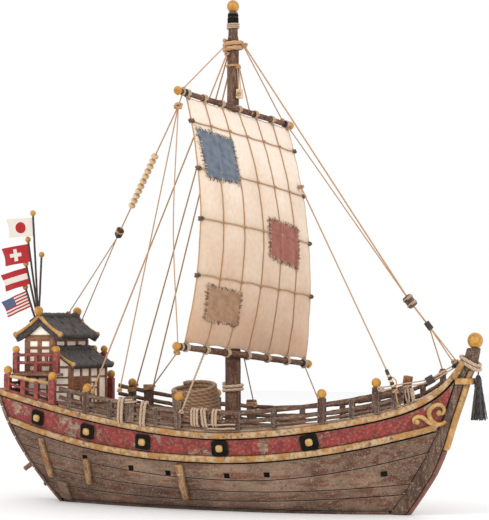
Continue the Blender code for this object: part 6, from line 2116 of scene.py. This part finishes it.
# %% [markdown]
# ### Lashings on the fences
# Several lines end at the rail, where their tails are lashed round the top rail and the cap in tight turns.
# One function winds such a lashing: it goes down outside the rails and up inside them, and moves along by
# one width of the rope with each turn.
# %% Lashings round the rails and posts
def rail_lashing(x, low, high, turns, diameter, slant):
    """Turns of pale rope round the starboard rail, between two heights."""
    points = []
    for i in range(int(turns * WINDING_STEPS) + 1):
        angle = 2 * math.pi * i / WINDING_STEPS
        up, out = math.cos(angle), math.sin(angle)
        reach = (abs(up) ** 5 + abs(out) ** 5) ** -0.2
        height = (low + high) / 2 + (high - low) / 2 * up * reach
        along = x + diameter * 1.04 * (i / WINDING_STEPS - turns / 2) + slant * (height - low)
        points.append(edge(along, -1, height, -0.0036 * out * reach))
    return rope("lashing", points, diameter, PALE_ROPE, 7)


# X, lowest and highest height over the edge, turns, diameter, slant
HANKS = (
    (-0.0800, -0.0016, 0.0200, 1.7, 0.0030, 0.10), (-0.0574, -0.0010, 0.0200, 1.7, 0.0030, 0.14),
    (-0.0057, 0.0050, 0.0190, 2.6, 0.0025, 0.04), (0.0044, 0.0046, 0.0196, 1.9, 0.0027, -0.08),
    (0.0132, 0.0056, 0.0190, 2.1, 0.0026, 0.10))
parts = [rail_lashing(*row) for row in HANKS]
for x, side, turns, diameter, material in (
        (-0.0703, -1, 1.4, 0.0020, PALE_ROPE), (-0.0103, 1, 3.2, 0.0013, TWINE)):
    half = POST_WIDTHS["thick"] / 2 + diameter / 2
    wide = (POST_DEPTH + diameter) / 2
    parts.append(winding(edge(x, side, 0.0190), (0, 0, 1), half, turns, diameter, material, wide))
for up in (0.0064, 0.0030):
    points = [edge(0.0060 + 0.0065 * i, -1, up + 0.0003 * (i % 2), -0.0024) for i in range(5)]
    parts.append(rope("strand", points, 0.0017, PALE_ROPE))
finish_piece(join(parts, "lashings"), "rail_lashings", "hull", "rope")

# %% [markdown]
# ## Gear on the fore deck
# A bollard with a dark cap stands behind the stem, with two belayed turns of pale rope. A doubled rope
# serves as a handrail from the bollard's side up to the lashing on the stem's head.
# %% Bollard
low, high = (Vector(corner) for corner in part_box("bow_bollard"))
middle = (low + high) / 2
parts = [hewn_post((middle.x, middle.y, low.z), 0.0060, 0.0060, high.z - low.z - 0.0060, POST_WOOD, 3)]
cap = block(
    (middle.x, middle.y, high.z - 0.0052), (0.0068, 0.0068, 0.0098), Matrix.Rotation(0.16, 4, "Y"), 0.0009, 2)
parts.append(whittled(cap, LATTICE, 0.0002, 0.004, 2))
parts.append(winding((middle.x, middle.y, high.z - 0.0120), (0, 0, 1), 0.0042, 2.4, 0.0020, PALE_ROPE))
for top_x, foot_x, foot_up, spread in ((0.0002, 0.0026, 0.0012, 0.0020), (0.0052, 0.0074, 0.0040, 0.0014)):
    points = []
    for i in range(25):
        angle = 2 * math.pi * i / 24
        share = (1.0 + math.cos(angle)) / 2
        x = middle.x + foot_x + (top_x - foot_x) * share + spread * math.sin(angle) * (0.4 + 0.6 * share)
        points.append((x, middle.y - 0.0048, low.z + foot_up + (0.0160 - foot_up) * share))
    parts.append(rope("turn", points, 0.0019, PALE_ROPE, 8))
finish_piece(join(parts, "bollard"), "bollard_with_rope", "hull", "worn_wood", "bow_bollard")

# %% Handrail of rope
HANDRAIL = (
    (0.1560, -0.0400, 0.1087), (0.1703, -0.0200, 0.1117), (0.1899, -0.0120, 0.1160),
    (0.2095, -0.0040, 0.1279))
parts = []
for up in (-0.0012, 0.0012):
    strand = [Vector(p) + raised(up) for p in HANDRAIL]
    parts.append(rope("strand", strand, 0.0014, PALE_ROPE))
heading = (Vector(HANDRAIL[3]) - Vector(HANDRAIL[2])).normalized()
sleeve = bar(Vector(HANDRAIL[2]) - heading * 0.0034, Vector(HANDRAIL[2]) + heading * 0.0034, 0.0036)
parts.append(smooth(paint(sleeve, DARK_WOOD), 50))
parts.append(rope("tie", [HANDRAIL[3], (0.2145, -0.0020, 0.1330)], 0.0014, BLACK_LINE))
parts += [knot(HANDRAIL[0], 0.0020, PALE_ROPE, 3), knot(HANDRAIL[3], 0.0018, BLACK_LINE, 4)]
finish_piece(join(parts, "handrail"), "bow_handrail_rope", "hull", "rope")

# %% [markdown]
# ## The studio
# A white floor and a white world make the pale ground of a catalogue picture, and three large soft lamps
# shape the ship: a key from the viewer's left, a weaker fill from the bow, and a faint one from behind. One
# hard lamp would throw the rigging's shadows over the sail.
# %% Stage and light
FLOOR_SIZE = 6.0
bpy.ops.mesh.primitive_plane_add(size=FLOOR_SIZE)
floor = bpy.context.object
floor.name = "studio_floor"
floor_material, _, shader, _ = start_finish("studio floor", 0.9)
shader.inputs["Base Color"].default_value = (0.92, 0.92, 0.92, 1.0)
paint(floor, floor_material)
world = bpy.data.worlds.new("studio")
bpy.context.scene.world = world
world.use_nodes = True
world.node_tree.nodes["Background"].inputs["Color"].default_value = (1.0, 1.0, 1.0, 1.0)
world.node_tree.nodes["Background"].inputs["Strength"].default_value = 1.0
LAMP_TARGET = raised(0.15)
# Name, place, size and power
LAMPS = (
    ("key", (-0.9, -1.6, 1.5), 1.0, 12.0),
    ("fill", (1.6, -1.0, 0.9), 1.2, 10.0),
    ("back", (0.2, 1.6, 1.4), 1.2, 4.0),
)
for name, place, size, power in LAMPS:
    data = bpy.data.lights.new(name, "AREA")
    data.size = size
    data.energy = power
    lamp = bpy.data.objects.new(name, data)
    bpy.context.scene.collection.objects.link(lamp)
    lamp.location = place
    lamp.rotation_euler = (LAMP_TARGET - Vector(place)).to_track_quat("-Z", "Y").to_euler()
bpy.context.scene.view_settings.view_transform = "Standard"
